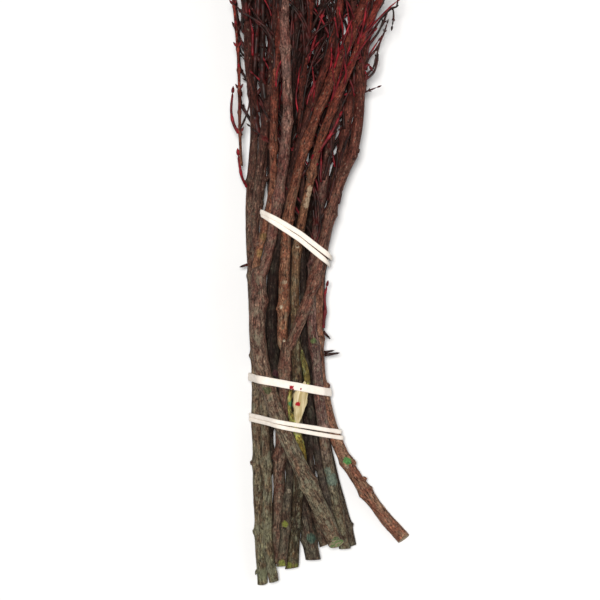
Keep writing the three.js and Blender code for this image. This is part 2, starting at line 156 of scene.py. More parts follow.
def spline(stations, step):
    """Even points on a smooth curve through the stations.

    Each row is x, y, z and then any values that ride along.
    """
    rows = np.asarray(stations, dtype=float)
    rows = np.vstack([2 * rows[0] - rows[1], rows, 2 * rows[-1] - rows[-2]])
    out = []
    for i in range(1, len(rows) - 2):
        a, b, c, d = rows[i - 1 : i + 3]
        n = max(2, int(np.linalg.norm(c[:3] - b[:3]) / step))
        t = np.linspace(0, 1, n, endpoint=False)[:, None]
        out.append(
            0.5 * (2 * b + (c - a) * t + (2 * a - 5 * b + 4 * c - d) * t**2 + (3 * b - a - 3 * c + d) * t**3)
        )
    out.append(rows[-2][None])
    return np.concatenate(out)


def frames_along(line):
    """Two directions square to the line at each of its points, which turn as little as they can."""
    tangent = unit(np.gradient(line, axis=0))
    side = np.cross(tangent[0], [0, 0, 1.0])
    first = np.zeros_like(line)
    for i, t in enumerate(tangent):
        side = side - t * side.dot(t)
        side = side / np.linalg.norm(side)
        first[i] = side
    return tangent, first, np.cross(tangent, first)


def ring_faces(rings, sides):
    """Quads that join rings of points, facing out."""
    i = np.arange(rings - 1)[:, None] * sides
    j = np.arange(sides)[None]
    k = (j + 1) % sides
    return np.stack([i + j, i + k, i + sides + k, i + sides + j], axis=-1).reshape(-1, 4)


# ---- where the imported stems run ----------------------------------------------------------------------


def stations_of(node):
    """A packed stem's centre and half-thickness at each of its rings: rows of x, y, z, radius."""
    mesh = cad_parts[node].data
    co = np.empty(len(mesh.vertices) * 3)
    mesh.vertices.foreach_get("co", co)
    world = np.array(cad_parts[node].matrix_world)
    co = co.reshape(-1, 3) @ world[:3, :3].T + world[:3, 3]
    co = np.unique(np.round(co, 7), axis=0)
    levels = np.round(co[:, 1], 5)
    values, counts = np.unique(levels, return_counts=True)
    full = values[counts >= 6]
    start_ring = co[levels < full[0] - 1e-6]
    rings = [co[np.abs(levels - v) < 1e-6] for v in full]
    if len(start_ring):
        rings.insert(0, start_ring)
    centres = np.array([ring.mean(axis=0) for ring in rings])
    slope = np.gradient(centres, centres[:, 1], axis=0)
    rows = []
    for ring, centre, lean in zip(rings, centres, slope):
        off = ring - centre
        off = off[np.linalg.norm(off, axis=1) > 1e-4]
        spread_x = math.sqrt(2 * (off[:, 0] ** 2).mean()) / math.hypot(1, lean[0])
        spread_z = math.sqrt(2 * (off[:, 2] ** 2).mean()) / math.hypot(1, lean[2])
        rows.append([*centre, (spread_x + spread_z) / 2])
    rows = np.array(rows)
    rows[0, 3] = rows[1, 3] + (rows[1, 3] - rows[2, 3]) * 0.5
    return rows


# ---- stems ---------------------------------------------------------------------------------------------

STEM, WOOD, TWIG, BARE, ARM, OTHER_ARM, SHADE = range(7)  # material slots of every branch


def bumps(s, centres, width):
    """How near each place along a stem is to one of the centres: 1 on it, falling to 0."""
    total = np.zeros_like(s)
    for centre in centres:
        total += np.exp(-(((s - centre) / width) ** 2))
    return np.minimum(total, 1.0)


STRAY = 0.0005  # how far a stem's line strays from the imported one
STRAY_IN_FULL = 0.002  # the radius from which it strays that far
STILL_END = 0.006  # the stretch at each end over which it stops straying
KNOT_SWELL, KNOT_LENGTH = 0.22, 0.0030
SCAR_HEIGHT, SCAR_LENGTH = 0.00028, 0.0007
FULL_RELIEF = 0.003  # the radius at which bark has its full relief
CUT_REACH = 0.009  # how far up a stem a slanted cut pulls its rings


def bark_relief(flat, shape):
    """Ridges, lumps and grain of bark, in metres, at bark coordinates."""
    ridge = noise(flat * [700, 700, 70], 7).reshape(shape)
    lump = noise(flat * [170, 170, 110], 8).reshape(shape)
    grain = noise(flat * [1500, 1500, 500], 9).reshape(shape)
    return 0.00016 * ridge + 0.00026 * lump + 0.00008 * grain


def bud_scars(a, far, knots, seed):
    """1 in the middle of a bud scar, falling to 0, at angles a and distances far. Each knot has a pair."""
    total = 0
    for n, knot in enumerate(knots):
        turn = (seed * 1.3 + n * math.pi / 2) % math.pi
        for face in (turn, turn + math.pi):
            off = np.abs((a - face + math.pi) % (2 * math.pi) - math.pi)
            total = total + np.exp(-((off / 0.42) ** 2)) * np.exp(-(((far - knot + 0.0006) / 0.0013) ** 2))
    return total


def stem_surface(bin_, rows, sides, step, knots, cut, seed, slot):
    """A bark-covered stem with a domed tip, through rows of x, y, z, radius.

    knots are distances along it, in metres, where it swells. cut is how far the sawn end leans across and up,
    or None where there is no sawn end. Returns the line, the radius and the distance along it.
    """
    dense = spline(rows, step)
    line, radius = dense[:, :3], dense[:, 3]
    s = run_along(line)
    wander = np.stack([s * 55, np.full_like(s, seed * 3.7), np.zeros_like(s)], axis=1)
    stray = STRAY * min(1.0, radius.mean() / STRAY_IN_FULL)
    stray = stray * np.clip(s / STILL_END, 0, 1) * np.clip((s[-1] - s) / STILL_END, 0, 1)
    line = line + np.stack([noise(wander, 1 + seed), 0 * s, noise(wander, 2 + seed)], axis=1) * stray[:, None]
    tangent, u, v = frames_along(line)
    swell = 1 + KNOT_SWELL * bumps(s, knots, KNOT_LENGTH)
    swell = swell + 0.05 * noise(np.stack([s * 90, 0 * s + seed, 0 * s], axis=1), 5)
    left = np.clip((s[-1] - s) / (radius[-1] * 1.1), 0, 1)
    taper = np.sqrt(np.maximum(1 - (1 - left) ** 2, 0.0004))
    a = np.broadcast_to(turns(sides)[None], (len(s), sides))
    across, up = np.cos(a), np.sin(a)
    r0 = radius[:, None]
    far = np.broadcast_to(s[:, None], a.shape)
    bark = np.stack([across * r0, up * r0, far + seed * 0.37], axis=-1).reshape(-1, 3)
    size = np.minimum(r0 / FULL_RELIEF, 1.2)
    relief = size * (bark_relief(bark, a.shape) + 0.0006 * bud_scars(a, far, knots, seed))
    ring_scar = SCAR_HEIGHT * bumps(s, knots, SCAR_LENGTH)
    r = (r0 * swell[:, None] + relief + ring_scar[:, None]) * taper[:, None]
    points = line[:, None] + u[:, None] * (r * across)[..., None] + v[:, None] * (r * up)[..., None]
    if cut is not None:
        off = points - line[:, None]
        lean = (cut[0] * off[:, :, 0] + cut[1] * off[:, :, 2]) * np.clip(1 - far / CUT_REACH, 0, 1)
        points = points + tangent[:, None] * lean[..., None]
    points = points.reshape(-1, 3)
    bin_.add(points, bark, [ring_faces(len(s), sides)], slot)
    if cut is not None:
        add_cut_face(bin_, points[:sides], bark[:sides], tangent[0], sides, seed)
    tip = np.concatenate([points[-sides:], (line[-1] + tangent[-1] * 1e-5)[None]])
    j = np.arange(sides)
    fan = np.stack([j, (j + 1) % sides, np.full(sides, sides)], axis=1)
    bin_.add(tip, np.concatenate([bark[-sides:], bark[-1:]]), [fan], slot)
    return line, radius, s


def add_cut_face(bin_, rim, bark, tangent, sides, seed):
    """The sawn end: a rough disc inside the bark's rim."""
    centre = rim.mean(axis=0)
    rings, marks = [rim], [bark]
    for n, share in enumerate((0.93, 0.86, 0.6, 0.3)):
        ring = centre + (rim - centre) * share
        rough = noise(ring * 1400, 20 + seed + n) * 0.00012
        sink = 0.00025 if n else 0.0001
        rings.append(ring + tangent * (rough + sink)[:, None])
        marks.append(bark * [share, share, 1])
    rings.append((centre + tangent * 0.0003)[None])
    marks.append(bark.mean(axis=0, keepdims=True) * [0, 0, 1])
    points = np.concatenate(rings)
    quads = ring_faces(5, sides)[:, ::-1]
    j = np.arange(sides) + 4 * sides
    fan = np.stack([(np.arange(sides) + 1) % sides + 4 * sides, j, np.full(sides, 5 * sides)], axis=1)
    bin_.add(points, np.concatenate(marks), [quads[:sides]], STEM)
    bin_.add(points, np.concatenate(marks), [quads[sides:], fan], WOOD)


def bud(bin_, at, way, length, thick, slot=TWIG, sides=7):
    """A pointed bud: a lofted drop."""
    way = unit(np.asarray(way, dtype=float))
    side = unit(np.cross(way, [0.31, 0.2, 0.93]))
    other = np.cross(way, side)
    share = np.array([0, 0.18, 0.4, 0.62, 0.82, 0.97])
    fat = np.array([0.55, 0.9, 1.0, 0.8, 0.45, 0.08])
    a = turns(sides)
    ring = np.cos(a)[:, None] * side + np.sin(a)[:, None] * other
    points = at + (share[:, None, None] * length) * way + (fat[:, None, None] * thick / 2) * ring
    points = points.reshape(-1, 3)
    fan = np.stack([np.arange(sides), (np.arange(sides) + 1) % sides, np.full(sides, 0)], axis=1)[1:-1]
    top = fan + (len(share) - 1) * sides
    bin_.add(points, points, [ring_faces(len(share), sides), fan[:, ::-1], top], slot)


def twig(bin_, route, thick, seed=0, buds=True, slot=TWIG, sides=7, step=0.0022, spacing=0.012):
    """A fine twig along route, tapering from thick[0] to thick[1], with pairs of buds and one at its tip."""
    half = np.linspace(thick[0], thick[1], len(route))[:, None] / 2
    dense = spline(np.hstack([route, half]), step)
    line, radius = dense[:, :3], dense[:, 3]
    s = run_along(line)
    knots = np.arange(spacing * 0.8, s[-1] - spacing * 0.4, spacing)
    tangent, u, v = frames_along(line)
    across, up = np.cos(turns(sides))[None], np.sin(turns(sides))[None]
    ripple = noise(np.stack([s * 300, 0 * s, 0 * s + seed], axis=1), 3)
    r = (radius * (1 + 0.35 * bumps(s, knots, 0.0012) + 0.1 * ripple))[:, None]
    r[-1] *= 0.3
    ring = across[..., None] * u[:, None] + up[..., None] * v[:, None]
    points = (line[:, None] + ring * r[..., None]).reshape(-1, 3)
    far = np.repeat(s + seed * 0.11, sides)
    bark = np.stack([(across * r).ravel(), (up * r).ravel(), far], axis=1)
    j = np.arange(sides)
    last = (len(s) - 1) * sides
    end = np.stack([j[1:-1], j[2:], np.zeros(sides - 2, dtype=int)], axis=1)
    bin_.add(points, bark, [ring_faces(len(s), sides), end + last, end[:, ::-1]], slot)
    if not buds:
        return
    for n, knot in enumerate(knots):
        i = int(np.searchsorted(s, knot))
        out = u[i] if n % 2 else v[i]
        for way in (out, -out):
            fat = max(radius[i] * 1.5, 0.0007)
            bud(bin_, line[i] + way * radius[i] * 0.6, way * 0.55 + tangent[i], fat * 2.4, fat * 0.9, slot, 5)
    bud(bin_, line[-1], tangent[-1], thick[1] * 2.0 + 0.0012, thick[1] * 1.4, slot, 5)


# ---- materials -----------------------------------------------------------------------------------------


class Shader:
    """A material and short ways to add nodes to it."""

    def __init__(self, name):
        self.material = bpy.data.materials.new(name)
        self.material.use_nodes = True
        self.tree = self.material.node_tree
        self.surface = self.tree.nodes["Principled BSDF"]
        self.surface.inputs["Specular IOR Level"].default_value = 0.12

    def feed(self, socket, value):
        if hasattr(value, "is_linked"):
            self.tree.links.new(value, socket)
        else:
            socket.default_value = value

    def where(self, scale):
        """Bark coordinates in metres, which follow the stem, times scale."""
        source = self.tree.nodes.new("ShaderNodeAttribute")
        source.attribute_name = "bark_at"
        return self.scaled(source.outputs["Vector"], scale)

    def here(self):
        return self.tree.nodes.new("ShaderNodeTexCoord").outputs["Object"]

    def scaled(self, vector, scale):
        node = self.tree.nodes.new("ShaderNodeVectorMath")
        node.operation = "MULTIPLY"
        self.feed(node.inputs[0], vector)
        node.inputs[1].default_value = scale
        return node.outputs[0]

    def noise(self, vector, detail=3.0, rough=0.55):
        node = self.tree.nodes.new("ShaderNodeTexNoise")
        self.feed(node.inputs["Vector"], vector)
        node.inputs["Scale"].default_value = 1.0
        node.inputs["Detail"].default_value = detail
        node.inputs["Roughness"].default_value = rough
        return node.outputs[0]

    def cells(self, vector):
        node = self.tree.nodes.new("ShaderNodeTexVoronoi")
        self.feed(node.inputs["Vector"], vector)
        node.inputs["Scale"].default_value = 1.0
        return node.outputs["Distance"]

    def maths(self, operation, a, b=0.0, c=0.0):
        node = self.tree.nodes.new("ShaderNodeMath")
        node.operation = operation
        for socket, value in zip(node.inputs, (a, b, c)):
            self.feed(socket, value)
        return node.outputs[0]

    def span(self, value, low, high, to_low=0.0, to_high=1.0):
        node = self.tree.nodes.new("ShaderNodeMapRange")
        for socket, given in zip(node.inputs, (value, low, high, to_low, to_high)):
            self.feed(socket, given)
        return node.outputs[0]

    def mix(self, share, a, b, blend="MIX"):
        node = self.tree.nodes.new("ShaderNodeMix")
        node.data_type = "RGBA"
        node.blend_type = blend
        self.feed(node.inputs[0], share)
        for socket, value in zip(node.inputs[6:8], (a, b)):
            self.feed(socket, value if hasattr(value, "is_linked") else (*value, 1.0))
        return node.outputs[2]

    def ramp(self, value, stops):
        node = self.tree.nodes.new("ShaderNodeValToRGB")
        self.feed(node.inputs[0], value)
        entries = node.color_ramp.elements
        while len(entries) < len(stops):
            entries.new(0.5)
        for entry, (at, colour) in zip(entries, stops):
            entry.position = at
            entry.color = (*colour, 1.0)
        return node.outputs[0]

    def near(self, point, reach):
        """1 within reach of a point, fading out at a ragged edge."""
        node = self.tree.nodes.new("ShaderNodeVectorMath")
        node.operation = "DISTANCE"
        self.feed(node.inputs[0], self.here())
        node.inputs[1].default_value = tuple(point)
        wobble = self.span(self.noise(self.where((900, 900, 700))), 0.3, 0.7, 0.65, 1.35)
        return self.span(self.maths("MULTIPLY", node.outputs["Value"], wobble), reach, reach * 0.7)

    def bump(self, height, strength, distance):
        node = self.tree.nodes.new("ShaderNodeBump")
        node.inputs["Strength"].default_value = strength
        node.inputs["Distance"].default_value = distance
        self.feed(node.inputs["Height"], height)
        self.feed(self.surface.inputs["Normal"], node.outputs[0])

    def finish(self, colour, roughness):
        self.feed(self.surface.inputs["Base Color"], colour)
        self.feed(self.surface.inputs["Roughness"], roughness)
        return self.material


# How bark changes from the cut end to the tips, as (distance along in millimetres, colour).
LENGTH = 560.0
LOOKS = {
    "grey": [
        (0, (0.12, 0.1, 0.07)), (70, (0.125, 0.1, 0.072)), (150, (0.135, 0.083, 0.067)),
        (210, (0.1, 0.054, 0.042)), (260, (0.066, 0.022, 0.018)), (330, (0.052, 0.013, 0.011)),
        (450, (0.11, 0.014, 0.016)),
    ],
    "green": [
        (0, (0.112, 0.106, 0.068)), (70, (0.12, 0.102, 0.07)), (140, (0.115, 0.08, 0.06)),
        (210, (0.085, 0.048, 0.038)), (260, (0.055, 0.02, 0.016)), (330, (0.042, 0.012, 0.01)),
        (450, (0.1, 0.013, 0.015)),
    ],
    "brown": [
        (0, (0.112, 0.078, 0.06)), (70, (0.108, 0.07, 0.054)), (150, (0.13, 0.066, 0.05)),
        (210, (0.1, 0.044, 0.034)), (260, (0.078, 0.024, 0.018)), (330, (0.062, 0.015, 0.012)),
        (450, (0.12, 0.014, 0.017)),
    ],
    "tan": [
        (0, (0.22, 0.125, 0.084)), (70, (0.195, 0.106, 0.072)), (150, (0.165, 0.084, 0.058)),
        (210, (0.1, 0.046, 0.036)), (260, (0.078, 0.024, 0.018)), (330, (0.062, 0.015, 0.012)),
        (450, (0.12, 0.014, 0.017)),
    ],
    # The dark look turns near black from 60 mm on: painted shade for stems that lie in the gaps between
    # others.
    "dark": [
        (0, (0.08, 0.07, 0.052)), (60, (0.05, 0.038, 0.032)), (100, (0.016, 0.011, 0.009)),
        (190, (0.018, 0.01, 0.008)), (250, (0.05, 0.018, 0.014)), (300, (0.085, 0.018, 0.013)),
        (450, (0.12, 0.014, 0.017)),
    ],
    # This look for stems low in the bundle is their own colour near the cut end and turns near black from 60
    # mm on as painted shade.
    "deep": [
        (0, (0.1, 0.082, 0.06)), (60, (0.044, 0.033, 0.026)), (100, (0.021, 0.014, 0.011)),
        (230, (0.018, 0.009, 0.007)), (330, (0.022, 0.007, 0.006)), (450, (0.09, 0.012, 0.014)),
    ],
    "orange": [
        (0, (0.15, 0.092, 0.062)), (150, (0.175, 0.084, 0.052)), (200, (0.15, 0.066, 0.042)),
        (260, (0.115, 0.035, 0.023)), (330, (0.085, 0.018, 0.013)), (450, (0.14, 0.015, 0.018)),
    ],
    "olive": [
        (0, (0.092, 0.08, 0.046)), (28, (0.05, 0.042, 0.027)), (80, (0.052, 0.04, 0.025)),
        (150, (0.105, 0.078, 0.046)), (200, (0.14, 0.074, 0.044)), (270, (0.11, 0.025, 0.017)),
        (450, (0.18, 0.014, 0.018)),
    ],
    "rose": [
        (0, (0.14, 0.095, 0.068)), (150, (0.135, 0.078, 0.062)), (220, (0.11, 0.05, 0.043)),
        (265, (0.125, 0.065, 0.056)), (330, (0.14, 0.07, 0.06)), (450, (0.14, 0.018, 0.02)),
    ],
    "plum": [
        (0, (0.112, 0.104, 0.068)), (60, (0.112, 0.094, 0.066)), (95, (0.115, 0.07, 0.062)),
        (160, (0.112, 0.062, 0.057)), (210, (0.085, 0.04, 0.036)), (260, (0.055, 0.02, 0.016)),
        (330, (0.042, 0.012, 0.01)), (450, (0.1, 0.013, 0.015)),
    ],
    "yellow": [
        (0, (0.16, 0.15, 0.036)), (60, (0.17, 0.16, 0.036)), (80, (0.22, 0.22, 0.05)),
        (110, (0.2, 0.2, 0.06)), (130, (0.14, 0.15, 0.06)), (450, (0.16, 0.02, 0.024)),
    ],
}
LICHEN = (0.205, 0.20, 0.135)


# How much lichen and how many pale dots each kind of bark has, where it isn't as usual.
LICHEN_SHARE = {"dark": 0.15, "deep": 0.2, "tan": 0.2, "brown": 0.35}
DOT_SHARE = {"dark": 0.12, "deep": 0.12}


def bark_material(name, look, patches=()):
    """Bark: colour by distance from the cut end, blotches, streaks, cracks, pale dots, lichen and stains."""
    g = Shader(name)
    along = g.tree.nodes.new("ShaderNodeSeparateXYZ")
    g.feed(along.inputs[0], g.here())
    blotch = g.noise(g.where((230, 230, 130)), 4.0, 0.65)
    streak = g.noise(g.where((640, 640, 230)), 5.0, 0.68)
    fine = g.noise(g.where((1250, 1250, 800)), 3.0, 0.65)
    length_share = g.span(along.outputs["Y"], CUT_END_Y, CUT_END_Y + LENGTH * MM)
    wobble = g.span(blotch, 0.2, 0.8, -0.05, 0.05)
    base = g.ramp(g.maths("ADD", length_share, wobble), [(mm / LENGTH, c) for mm, c in LOOKS[look]])
    red = g.mix(1.0, base, (0.82, 0.60, 0.55), "MULTIPLY")
    pale = g.mix(1.0, base, (1.12, 1.17, 1.08), "MULTIPLY")
    base = g.mix(g.span(blotch, 0.42, 0.58), red, pale)
    base = g.mix(g.span(streak, 0.47, 0.33), base, (0.34, 0.27, 0.26), "MULTIPLY")
    base = g.mix(g.span(streak, 0.53, 0.66), base, (2.0, 1.95, 1.85), "MULTIPLY")
    base = g.mix(g.span(fine, 0.53, 0.66, 0, 0.85), base, (2.1, 2.05, 1.9), "MULTIPLY")
    base = g.mix(g.span(fine, 0.47, 0.34, 0, 0.9), base, (0.30, 0.25, 0.24), "MULTIPLY")
    growth = g.noise(g.where((330, 330, 190)), 5.0, 0.7)
    low_down = g.span(length_share, 0.10, 0.50, LICHEN_SHARE.get(look, 0.6), 0.0)
    base = g.mix(g.maths("MULTIPLY", g.span(growth, 0.53, 0.60), low_down), base, LICHEN)
    dots = g.cells(g.where((480, 480, 300)))
    pale_dots = g.span(dots, 0.22, 0.13, 0, DOT_SHARE.get(look, 0.38))
    base = g.mix(pale_dots, base, (0.30, 0.23, 0.17))
    lines = g.noise(g.where((1000, 1000, 85)), 2.0, 0.5)
    gap = g.maths("ABSOLUTE", g.maths("SUBTRACT", lines, 0.5))
    base = g.mix(g.span(gap, 0.026, 0.006, 0, 0.85), base, (0.016, 0.010, 0.008))
    for point, reach, colour, share in patches:
        stain = g.mix(g.span(fine, 0.40, 0.60), tuple(c * 0.55 for c in colour), colour)
        base = g.mix(g.maths("MULTIPLY", g.near(point, reach), share), base, stain)
    height = g.maths("ADD", g.maths("MULTIPLY", streak, 0.9), g.maths("MULTIPLY", fine, 0.5))
    height = g.maths("SUBTRACT", height, g.span(gap, 0.03, 0.0, 0.0, 0.5))
    height = g.maths("ADD", height, g.span(dots, 0.22, 0.10, 0.0, 0.3))
    g.bump(height, 0.9, 0.0006)
    return g.finish(base, g.span(streak, 0.25, 0.8, 0.80, 0.52))


def cut_material(name, paint=(0.1, 0.08, 0.05), cover=0.75):
    """The sawn end: rings of pale wood with dirt, and with paint where its noise is above cover."""
    g = Shader(name)
    spot = g.where((1, 1, 0))
    length = g.tree.nodes.new("ShaderNodeVectorMath")
    length.operation = "LENGTH"
    g.feed(length.inputs[0], spot)
    dirt = g.noise(g.where((800, 800, 0)), 4.0, 0.65)
    waves = g.maths("MULTIPLY_ADD", length.outputs["Value"], 9000.0, g.span(dirt, 0, 1, 0, 5))
    rings = g.maths("SINE", waves)
    base = g.mix(g.span(rings, -1, 1, 0.1, 0.6), (0.40, 0.31, 0.20), (0.24, 0.17, 0.11))
    base = g.mix(g.span(dirt, 0.5, 0.68), base, (0.10, 0.075, 0.05))
    coat = g.noise(g.where((420, 420, 0)), 3.0, 0.6)
    base = g.mix(g.span(coat, cover, cover + 0.08, 0, 0.9), base, paint)
    g.bump(g.maths("ADD", dirt, g.maths("MULTIPLY", rings, 0.1)), 0.5, 0.0004)
    return g.finish(base, g.span(dirt, 0.3, 0.7, 0.7, 0.9))


def twig_material(name, dark, mid, bright):
    """Young bark, dyed crimson or darkened as painted shade: thin, a little glossy, and patchy."""
    g = Shader(name)
    patch = g.noise(g.scaled(g.here(), (200, 110, 200)), 3.0, 0.6)
    streak = g.noise(g.where((1500, 1500, 200)), 3.0)
    base = g.ramp(g.span(patch, 0.3, 0.72), [(0.0, dark), (0.45, mid), (1.0, bright)])
    base = g.mix(g.span(streak, 0.42, 0.30, 0, 0.75), base, (0.35, 0.3, 0.3), "MULTIPLY")
    base = g.mix(g.span(streak, 0.62, 0.75, 0, 0.4), base, (1.5, 1.6, 1.5), "MULTIPLY")
    g.bump(streak, 0.4, 0.0003)
    return g.finish(base, g.span(streak, 0.3, 0.7, 0.5, 0.34))


def torn_wood_material(name, drops=()):
    """Stripped wood: cream fibres, with drops of paint."""
    g = Shader(name)
    fibre = g.noise(g.where((1900, 1900, 60)), 4.0, 0.6)
    broad = g.noise(g.where((420, 420, 60)), 2.0)
    base = g.mix(g.span(fibre, 0.35, 0.65), (0.40, 0.30, 0.13), (0.72, 0.62, 0.40))
    base = g.mix(g.span(broad, 0.56, 0.40, 0, 0.6), base, (0.30, 0.22, 0.08))
    for point, reach, colour, share in drops:
        base = g.mix(g.maths("MULTIPLY", g.near(point, reach), share), base, colour)
    g.bump(fibre, 0.8, 0.0006)
    return g.finish(base, g.span(fibre, 0.3, 0.7, 0.75, 0.6))


def rubber_material(name, patches=()):
    """Cream rubber with a dry bloom."""
    g = Shader(name)
    bloom = g.noise(g.scaled(g.here(), (420, 420, 420)), 4.0, 0.65)
    dust = g.noise(g.scaled(g.here(), (2600, 2600, 2600)), 2.0)
    base = g.mix(g.span(bloom, 0.35, 0.7), (0.84, 0.75, 0.655), (0.92, 0.85, 0.77))
    base = g.mix(g.span(dust, 0.62, 0.75, 0, 0.3), base, (0.72, 0.60, 0.50))
    for point, reach, colour, share in patches:
        base = g.mix(g.maths("MULTIPLY", g.near(point, reach), share), base, colour)
    g.bump(g.maths("ADD", dust, bloom), 0.3, 0.0002)
    return g.finish(base, g.span(bloom, 0.3, 0.7, 0.62, 0.45))


# ---- branches -----------------------------------------------------------------------------------------

FORKS = {
    "thick_front_stem": ("thick_stem_left_arm", "thick_stem_right_arm"),
    "forked_middle_stem": ("middle_stem_orange_arm", "middle_stem_right_arm"),
}


def children_of(node):
    if node in FORKS:
        return FORKS[node]
    crown = node.replace("_stem", "").replace("stem_", "") + "_crown_"
    return tuple(crown + n for n in "12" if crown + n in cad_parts)


rows_of = {name: stations_of(name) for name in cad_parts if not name.endswith("_band")}


def point_on(node, along, side, up):
    """A point on a stem's skin, along millimetres from the cut ends. side is to the right."""
    rows = rows_of[node]
    y = CUT_END_Y + along * MM
    x, z, r = (np.interp(y, rows[:, 1], rows[:, i]) for i in (0, 2, 3))
    size = math.hypot(side, up) or 1.0
    return np.array([x + r * side / size, y, z + r * up / size])


# name: (look, knots in millimetres from the cut end, sides, step in millimetres)
STEM_LOOKS = {
    "left_outer_stem": ("green", (30, 68, 128, 172, 224, 272, 318), 26, 1.1),
    "left_inner_stem": ("green", (20, 67, 122, 160, 205, 247, 290, 330), 24, 1.2),
    "thick_front_stem": ("grey", (58, 112, 158), 34, 1.0),
    "thick_stem_left_arm": ("orange", (205, 242, 284, 325), 20, 1.2),
    "thick_stem_right_arm": ("rose", (214, 256, 296, 336), 24, 1.1),
    "dark_stem": ("dark", (26, 76, 130, 176, 226, 266, 300, 335), 22, 1.3),
    "forked_middle_stem": ("brown", (30, 72, 121), 24, 1.2),
    "middle_stem_orange_arm": ("orange", (154, 203, 244, 277, 312), 24, 1.1),
    "middle_stem_right_arm": ("brown", (168, 206, 238, 276, 316), 24, 1.1),
    "olive_stem": ("olive", (34, 80, 131, 186, 228, 262, 298, 330), 22, 1.2),
    "lichen_stem": ("plum", (44, 88, 133, 178, 216, 256, 300), 24, 1.2),
    "hidden_right_stem": ("deep", (33, 80, 130, 180, 230, 280), 18, 1.6),
    "splayed_stem": ("tan", (52, 69, 110, 137, 180, 225, 262, 300), 26, 1.1),
    "yellow_rimmed_stem": ("deep", (33, 90, 140, 190, 240, 290, 330), 20, 1.5),
    "crossing_dark_stem": ("deep", (30, 80, 130, 190, 250, 300, 350), 18, 1.6),
    "slim_dark_stem": ("dark", (50, 96, 135, 180, 230, 280, 320), 18, 1.4),
    "torn_yellow_twig": ("yellow", (), 16, 0.7),
    "back_stem_left": ("deep", (60, 120, 180, 240, 300), 14, 2.0),
    "back_stem_second": ("deep", (60, 120, 180, 240, 300, 360, 420), 14, 2.0),
    "back_stem_middle": ("deep", (60, 120, 180, 240, 300), 14, 2.0),
    "back_stem_fourth": ("deep", (60, 120, 180, 240, 300, 360, 420), 14, 2.0),
    "back_stem_right": ("deep", (70, 130, 190, 250, 310), 14, 2.0),
    "left_red_twig": ("olive", (), 9, 1.4),
}
CROWN_SIDES, CROWN_STEP = 10, 1.8
CROWN_FROM = CUT_END_Y + 335 * MM  # side twigs in pairs begin here
TIGHT_UP_TO = CUT_END_Y + 275 * MM  # as far as here thin twigs keep between the outer stems
INSET = 1.5 * MM  # how far inside them they keep
RED_TWIG, TORN_TWIG = "left_red_twig", "torn_yellow_twig"
PIECES = {name: name.replace("_stem", "_branch") for name in STEM_LOOKS if "_arm" not in name}
PIECES[TORN_TWIG] = "torn_twig"
PIECES[RED_TWIG] = "red_side_twig"

# Lichen, paint and scars: along, side and up of the spot on its stem, reach in millimetres, colour, share.
PALE, SCAR_DARK, BLUE_GREEN = (0.55, 0.45, 0.32), (0.02, 0.012, 0.01), (0.155, 0.20, 0.155)
LIME, TEAL, GREEN = (0.24, 0.26, 0.05), (0.05, 0.12, 0.09), (0.11, 0.20, 0.06)
SPOTS = {
    "left_outer_stem": [
        (6, 0.3, 1, 4, (0.2, 0.21, 0.12), 0.6), (68, -1, 0.4, 1.6, (0.12, 0.02, 0.02), 0.8),
    ],
    "left_inner_stem": [(247, 0.5, 1, 1.8, (0.24, 0.03, 0.03), 0.8)],
    "thick_stem_left_arm": [
        (184, 0.3, 1, 2.6, (0.40, 0.24, 0.09), 0.6), (193, 0, 1, 2.6, (0.17, 0.13, 0.04), 0.5),
    ],
    "thick_stem_right_arm": [(284, 0, 1, 5, (0.26, 0.18, 0.155), 0.3)],
    "thick_front_stem": [
        (27, 0.2, 1, 2.2, (0.09, 0.15, 0.055), 0.6), (109, -0.2, 1, 2.6, (0.10, 0.13, 0.05), 0.6),
    ],
    "dark_stem": [(26, 0.3, 1, 3.2, TEAL, 0.6), (118, 0.2, 1, 2.2, (0.16, 0.02, 0.05), 0.25)],
    "forked_middle_stem": [(151, 0.7, 1, 3.6, (0.30, 0.30, 0.21), 0.85), (136, -0.4, 1, 0.9, PALE, 0.9)],
    "middle_stem_orange_arm": [
        (154.5, -0.5, 1, 1.1, PALE, 0.9), (168, 0, 1, 1.5, (0.36, 0.27, 0.18), 0.7),
    ],
    "olive_stem": [
        (11, -0.6, 1, 2.2, LIME, 0.7), (10.5, 0.7, 0.7, 1.8, LIME, 0.6),
        (135, -0.2, 1, 0.9, SCAR_DARK, 1), (188, -0.3, 1, 1.2, PALE, 0.9),
        *((at, 0.5, 1, 1.9, (0.5, 0.36, 0.24), 0.85) for at in (210, 213, 216, 219)),
    ],
    "lichen_stem": [
        (59, 0.2, 1, 4.4, BLUE_GREEN, 0.9), (64, -0.3, 1, 2.4, BLUE_GREEN, 0.7),
        (136, 0, 1, 2, (0.1, 0.16, 0.05), 0.7), (133, 0, 1, 1.3, (0.40, 0.16, 0.05), 0.7),
    ],
    "splayed_stem": [(69.3, 0.1, 1, 2.5, (0.11, 0.32, 0.09), 0.95), (66, -0.6, 1, 1.5, PALE, 0.4)],
    "yellow_rimmed_stem": [
        (12.5, 0.1, 1, 2.4, LIME, 0.8), (34.7, 0, 1, 2, LIME, 0.85), (53, 0.2, 1, 1.2, PALE, 0.35),
    ],
}
